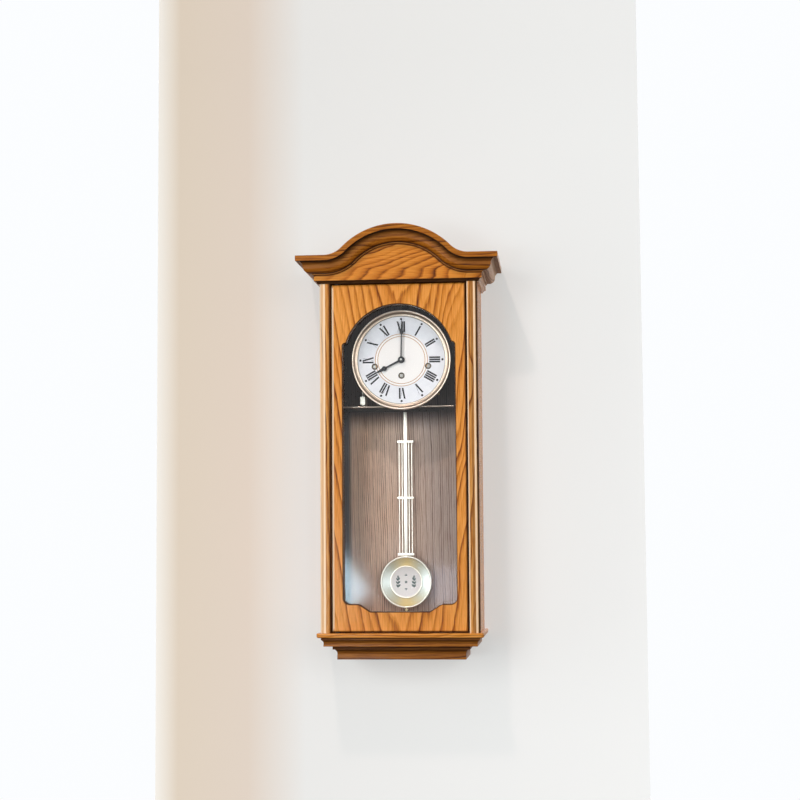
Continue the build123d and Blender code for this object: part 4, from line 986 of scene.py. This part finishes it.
# Painted highlight on the top edge of the band and on the bead.
wear_and_highlight = np.interp(drop, [0, 0.4, 0.9, 24.6, 25.0, 26.0], [0.15, 0.25, 0, 0, 0.1, 0])
piece("crown_arch", Solid().grid(arch * mm, caps=True, glaze=painted_shade_amounts, rubbed=wear_and_highlight), oak_moulding,
      "crown_arch_moulding")


def both_returns(name, node, outset, level, glaze=0.0):
    """Straight mouldings from the wall to the front corners, for one profile."""
    run_y = np.linspace(0, 1, 2)[:, None] * -(corner_y + outset)
    run = np.stack([np.broadcast_to(corner_x + outset, run_y.shape), run_y,
                    np.broadcast_to(level, run_y.shape)], -1)
    for side, word in sides:
        solid = Solid().grid(run * (side * mm, mm, mm), caps=True, glaze=glaze)
        piece(f"{name}_{word}", solid, oak_return, f"{node}_{word}")


# The returns get the crown's painted shade, weaker.
both_returns("return", "crown_return", outset, moulding_z - drop, painted_shade_amounts * 0.6)

cove = np.vstack([[(0.0, 3.9)], arc((0.0, 3.9), (-3.15, 2.73), (-4.5, 0.0), 7)])
inset = np.concatenate([[0, 0, 0, 0], cove[:, 0], [-12, -12]])
rows = [line, line + down * 26.9, line + down * 28.8]
rows += [np.column_stack([line[:, 0], np.full(len(line), crown_z + height)])
         for height in (5.0, *cove[:, 1], 0.0)]
front = np.stack(rows + [line], 1)
front[0, :, 0] = -corner_x - inset
front[-1, :, 0] = corner_x + inset
frieze = np.stack([front[..., 0], np.broadcast_to(-corner_y - inset, front.shape[:2]),
                   front[..., 1]], -1)
# Painted shade: dark behind the moulding, in the cove and on the frieze's underside.
frieze_painted_shade = np.array([1.0, 1.0, 0.0, 0.0] + [1.0] * (len(cove) + 2))
piece("frieze", Solid().grid(frieze * mm, caps=True, glaze=frieze_painted_shade), oak_crown,
      "crown_frieze_front")

edge = np.vstack([[(-12.0, 39.2), (0.0, 39.2)], cove, [(-12.0, 0.0)]])
both_returns("frieze", "crown_frieze", edge[:, 0], crown_z + edge[:, 1])

# %% [markdown]
# ## Door, columns and base
# The door's opening is one closed outline: an arch on two shoulders, and a dropped middle at the
# foot. The panel could be cut with a Boolean, which leaves ragged facets. Instead the outline is
# offset a little for the softened edge, and the flat faces are filled between it and the door's
# edge. The columns are the same kind of outline, seen from above.

# %% Door panel
opening_corners = [(-43.5, -467.4), (43.5, -467.4), (61, -456.4), (83.6, -456.4), (83.6, -70.6),
                   (78.2, -70.6), (-78.2, -70.6), (-83.6, -70.6), (-83.6, -456.4), (-61, -456.4)]
blocks = rounded(opening_corners, [8, 8, 8, 9.6, 4.5, 1, 1, 4.5, 9.6, 8])
shoulder = np.arctan2(24.7, 78.2)
arch_points = oval(0.0, -95.3, 82.0, 82.0, np.linspace(shoulder, np.pi - shoulder, 72))
opening = np.vstack([blocks[:5].reshape(-1, 2), arch_points, blocks[7:].reshape(-1, 2)])
along = np.roll(opening, -1, 0) - np.roll(opening, 1, 0)
outward = np.column_stack([along[:, 1], -along[:, 0]])
outward /= np.linalg.norm(outward, axis=1)[:, None]


def door_ring(inset, half=100.0, low=-497.5, high=17.4):
    """Rectangle of the door, drawn in by an inset, with points near its corners."""
    across = np.array([-1, -1, -0.94, 0.94, 1, 1, 1, 1, 0.94, -0.94, -1, -1]) * (half - inset)
    middle, tall = (high + low) / 2, (high - low) / 2 - inset
    upright = np.array([-0.98, -1, -1, -1, -1, -0.98, 0.98, 1, 1, 1, 1, 0.98]) * tall
    return np.column_stack([across, middle + upright])


door_front, door_rear, glass_seat = -126.4, -108.4, -115.4
quarter = np.linspace(0, np.pi / 2, 6)
edge_loops = [(door_ring(0), door_rear)]
edge_loops += [(door_ring(3 - 3 * np.cos(turn)), -123.4 - 3 * np.sin(turn)) for turn in quarter]
edge_loops += [(door_ring(3.4), door_front)]
arris = [(opening + outward * 1.1, door_front)]
arris += [(opening + outward * 0.8 * (1 - np.sin(turn)), door_front + 0.8 * (1 - np.cos(turn)))
          for turn in quarter]
arris += [(opening, glass_seat)]
rabbet = door_ring(0, 89.4, -473.2, -7.5)
door = Solid()
ring = door_ring(0)
on_left, on_right = ring[:, 0] < -99.0, ring[:, 0] > 99.0
on_foot, on_head = ring[:, 1] < -497.0, ring[:, 1] > 17.0
# Painted highlight on the door's left edge; painted shade on its foot, its right edge and its head.
round_it = np.array([0, 0.2, 0.9, 0.9, 0.9, 0.9, 0.6, 0])[:, None]
door.grid(standing(edge_loops) * mm, rubbed=round_it * (on_left & ~on_foot & ~on_head),
          glaze=np.array([1, 1, 1, 0.95, 0.9, 0.6, 0.1, 0])[:, None] * on_foot
          + np.array([1, 1, 0.9, 0.9, 0.8, 0.3, 0, 0])[:, None] * (on_right & ~on_foot)
          + np.array([1, 1, 0.9, 0.5, 0.2, 0.1, 0, 0])[:, None] * (on_head & ~on_right))
door.grid(standing(arris) * mm)
door.plate(door_front * mm, door_ring(3.4) * mm, (opening + outward * 1.1) * mm)
door.plate(glass_seat * mm, rabbet * mm, opening * mm)
door.grid(standing([(rabbet, glass_seat), (rabbet, door_rear)]) * mm)
door.plate(door_rear * mm, ring * mm, rabbet * mm)
piece("door_frame", door, oak_door, "door_panel")

# %% Columns
plan = [(102, -112.4), (102, -130.5), (117.5, -130.5), (117.5, -114.4), (115.5, -114.4),
        (115.5, -112.4)]
column = dense(rounded(plan, [0.3, 3.0, 5.0, 0.4, 0.3, 0.3], steps=10, rest=0.15).reshape(-1, 2),
               0.5)
# Strips across the front of each column: where a painted highlight lightens the colour and how
# much, and then where painted shade darkens it and how much. Between two places the amount goes
# evenly.
strips = {
    -1: (([-117.5, -115.7, -115.4, -111.9, -111.6, -109.1, -108.8],
          [0.9, 0.9, 0.4, 0.4, 0.95, 0.95, 0]),
         ([-106.5, -105.2, -103.6, -102.6], [0, 0, 0.12, 0.9])),
    1: (([103.6, 104.1, 111.5, 112.0, 114.5, 115.0], [0.9, 0, 0, 0.8, 0.8, 0]),
        ([107.7, 108.4, 110.8, 111.3, 114.8, 115.3], [0, 0.45, 0.45, 0, 0, 0.92]))}
front = column[:, 1] < -124.5
for side, word in sides:
    post = prism(column * (side * mm, mm), -498.5 * mm, crown_z * mm, "z")
    wear_and_highlight, painted_shade_amounts = [np.interp(side * column[:, 0], *strip) for strip in strips[side]]
    # Painted shade on the outer side faces, more on the right.
    outer = np.where(side > 0, 0.62, 0.25) * (column[:, 0] > 117.0)
    piece(f"{word}_post", Solid().grid(post, caps=True, rubbed=wear_and_highlight * front,
                                       glaze=np.where(front, painted_shade_amounts, outer)),
          oak_column, f"{word}_column")

# %% Base plate, cove and foot


def skirt(profile, half, front, low, radius=0.0):
    """Rows of the plan outline, one for every (outset, height) of a base moulding."""
    rows = []
    for out, height in profile:
        h, f = half + out, front + out
        radii = [0.01, radius + out, radius + out, 0.01] if radius else 0.01
        loop = rounded([(-h, 0), (-h, -f), (h, -f), (h, 0)], radii).reshape(-1, 2)
        rows.append(np.column_stack([loop, np.full(len(loop), low + height)]))
    return np.stack(rows) * mm


cove_profile = np.vstack([[(-0.3, 0), (0, 0.3), (0, 2.6)], arc((0, 2.6), (0.85, 7.64), (3.4, 9.8)),
                          [(3.4, 12.8)]])
foot_profile = np.vstack([[(-0.3, 0), (0, 0.3), (0, 6.0)], arc((0, 6.0), (0.9, 12.3), (3.6, 15.0)),
                          [(6.1, 15.0), (6.1, 20.0)]])
plate_profile = np.vstack([
    np.column_stack([-2.4 + 2.4 * np.sin(quarter), 2.4 - 2.4 * np.cos(quarter)]),
    [(0, 3.1), (-0.2, 3.3), (-0.2, 3.8), (0, 4.0)], oval(-1.2, 5.5, 1.2, 1.2, quarter)])
# Painted shade on the foot and the cove, most in their hollows and under their lips.
for name, profile, place, shade in (
        ("foot", foot_profile, (95.4, 108.4, -538.0), ([0, 6, 10, 14.9, 15, 19, 20],
                                                       [0.12, 0.2, 0.45, 1.0, 0.6, 0.35, 1.0])),
        ("cove", cove_profile, (113.4, 126.4, -518.0), ([0, 2.6, 5, 9.7, 9.8, 12, 12.8],
                                                        [0, 0.15, 0.35, 0.9, 0.3, 0.3, 1.0]))):
    painted_shade_amounts = np.interp(profile[:, 1], *shade)[:, None]
    piece(f"{name}_board", Solid().grid(skirt(profile, *place), caps=True, glaze=painted_shade_amounts),
          oak_base, f"base_{name}")
# Painted shade on the plate's lower round and in its small groove.
painted_shade_amounts = np.array([0.5, 0.4, 0.3, 0.2, 0.1, 0, 0, 0.7, 0.7] + [0] * 7)[:, None]
piece("plate_board", Solid().grid(skirt(plate_profile, 122.9, 135.9, -505.2, 5.0), caps=True,
                                  glaze=painted_shade_amounts), oak_plate, "base_plate")

# %% [markdown]
# ## Wall, floor and light
# The wall is a pale board just behind the clock. A picture of a room could hang there, but a few
# plain tones that run from cream to white say enough; the cream near the left and a slight
# darkening towards the top are painted shade, and a dark box where the clock hides the wall is a
# painted shadow. Part of the board shows its colour evenly, so that the clock's shadow on it is
# faint, as in a bright room. A camera that goes behind it has to see the clock's back, so the
# wall's own back is clear.

# %% Wall and floor


def board(name, corners, material):
    """A large flat board of the room, which isn't part of the clock."""
    mesh = bpy.data.meshes.new(name)
    mesh.from_pydata(corners, [], [(0, 1, 2, 3)])
    mesh.materials.append(material)
    made = bpy.data.objects.new(name, mesh)
    bpy.context.scene.collection.objects.link(made)
    return made


def wall_paint(*stops):
    """Wall colour from places, left to right, with a tone for each.

    A box where the clock hides the wall is painted dark, as painted shadow, and the wall is painted
    a little darker towards the top, as painted shade. Outside a slightly larger box it shows part
    of its colour evenly.
    """
    clock_z, dark_half, clock_half = 0.22, (0.10, 0.27), (0.11, 0.28)
    bench = Bench("wall")
    across, _, height = bench.parts(bench.place())
    colour = bench.ramp(across + 0.5, *[(place + 0.5, tint(*tone)) for place, tone in stops])
    # Painted shade: the wall darkens a little towards the top.
    lower = bench.node("MapRange", None, {"Value": height, 1: -0.75, 2: 0.40, 3: 1.0, 4: 0.0})
    # Painted shadow: the wall is dark where the clock hides it.
    hidden = (bench.maths("COMPARE", across, 0.0, dark_half[0])
              * bench.maths("COMPARE", height, -clock_z, dark_half[1]))
    colour = bench.mix(lower, bench.mix(1.0, colour, (0.86, 0.87, 0.87, 1), "MULTIPLY"), colour)
    colour = bench.mix(hidden, colour, tint(30, 26, 24))
    surface = bench.node("BsdfDiffuse", None, {"Color": colour})
    even = bench.node("Emission", None, {"Color": colour, "Strength": 1.03})
    seen = bench.maths("MAXIMUM", bench.node("LightPath"), bench.node("LightPath", output=3))
    beside = bench.maths("ABSOLUTE", across) / clock_half[0]
    above = bench.maths("ABSOLUTE", height + clock_z) / clock_half[1]
    clear_of = bench.maths("GREATER_THAN", bench.maths("MAXIMUM", beside, above), 1.0)
    surface = bench.blend(seen * clear_of * 0.45, surface, even)
    behind = bench.node("NewGeometry", output=6)
    return bench.close(bench.blend(behind, surface, bench.node("BsdfTransparent")))


def floor_paint(colour, shaded):
    """Floor that looks pale, but throws only the light of a darker colour on the clock."""
    bench = Bench("floor")
    colour = bench.mix(bench.node("LightPath"), shaded, colour)
    surface = bench.node("BsdfDiffuse", None, {"Color": colour})
    even = bench.node("Emission", None, {"Color": colour})
    return bench.close(bench.blend(bench.node("LightPath") * 0.9, surface, even))


left, right_end, wall_y, floor_z, wall_top, floor_half = -0.395, 0.364, 0.0006, -1.6, 3, 4
# The cream tones near the left are painted shade; the wall brightens to white towards the right.
wall = board("wall", [(left, wall_y, floor_z), (right_end, wall_y, floor_z),
                      (right_end, wall_y, wall_top), (left, wall_y, wall_top)],
             wall_paint((left, (250, 246, 238)), (-0.36, (228, 214, 196)),
                        (-0.25, (230, 216, 202)), (-0.16, (240, 240, 238)),
                        (right_end, (252, 253, 252))))
wall.visible_shadow = False
board("floor", [(-floor_half, -floor_half, floor_z), (floor_half, -floor_half, floor_z),
                (floor_half, floor_half, floor_z), (-floor_half, floor_half, floor_z)],
      floor_paint(tint(246, 246, 244), tint(120, 112, 104)))
print("the wall reaches from", left, "to", right_end, "m")

# %% [markdown]
# ## Lamps and room
# One large lamp could light it all, but the clock would look flat. So two big lamps fill the
# front, a small warm one above gives the shadows, two stand for windows at the sides, and two
# bluish ones gleam low in the glass. The last one lights the back. The room itself is bright to
# look at and in mirrors, but lights the clock only weakly.

# %% Lamps and room


def lamp(name, place, aim, size, power, colour=(1, 1, 1), spread=180.0, roll=0.0):
    """A rectangular soft light at a place, turned towards a point and rolled about its axis."""
    data = bpy.data.lights.new(name, "AREA")
    data.shape = "RECTANGLE"
    data.size, data.size_y = size
    data.energy, data.color, data.spread = power, colour, np.radians(spread)
    made = bpy.data.objects.new(name, data)
    made.location = place
    made.rotation_mode = "QUATERNION"
    look = (Vector(aim) - Vector(place)).to_track_quat("-Z", "Y")
    made.rotation_quaternion = look @ Matrix.Rotation(np.radians(roll), 3, "Z").to_quaternion()
    made.visible_camera = False
    bpy.context.scene.collection.objects.link(made)
    return made


lamp("room_left", (-1.5, -3.4, 0.15), (0, 0, -0.25), (1.1, 1.7), 44)
lamp("room_right", (1.45, -3.4, 0.15), (0, 0, -0.25), (1.5, 1.7), 35)
lamp("ceiling", (-0.30, -1.5, 1.35), (0, -0.1, -0.25), (0.10, 0.10), 10, (1.0, 0.80, 0.72))
lamp("window_left", (-2.3, -1.3, -0.2), (0, 0, -0.25), (0.5, 2.0), 14, (0.97, 0.99, 1.0))
lamp("window_right", (2.3, -0.9, -0.2), (0, 0, -0.25), (0.3, 2.0), 2.5, (1.0, 0.99, 0.97))
lamp("low_window", (-0.603, -3.0, -0.530), (-0.603, 0, -0.530), (0.28, 0.36), 6.6,
     (0.66, 0.87, 1.0), roll=-51)
lamp("low_gleam", (-0.135, -3.0, -0.51), (-0.135, 0, -0.51), (0.10, 0.12), 0.22, (0.78, 0.84, 1.0))
lamp("rear", (0, 2.2, 0.6), (0, 0, -0.2), (1.5, 1.5), 11, spread=70.0)
print(len(bpy.data.lights), "lamps")

world = bpy.data.worlds.new("room")
world.use_nodes = True
tree = world.node_tree
background = tree.nodes["Background"]
background.inputs[0].default_value = (0.97, 0.985, 1.0, 1)
path = tree.nodes.new("ShaderNodeLightPath")
seen = tree.nodes.new("ShaderNodeMath")
seen.operation = "MAXIMUM"
tree.links.new(path.outputs["Is Camera Ray"], seen.inputs[0])
tree.links.new(path.outputs["Is Glossy Ray"], seen.inputs[1])
level = tree.nodes.new("ShaderNodeMapRange")
level.inputs[3].default_value, level.inputs[4].default_value = 0.22, 1.0
tree.links.new(seen.outputs[0], level.inputs[0])
tree.links.new(level.outputs[0], background.inputs[1])
bpy.context.scene.world = world
bpy.context.scene.view_settings.view_transform = "Standard"
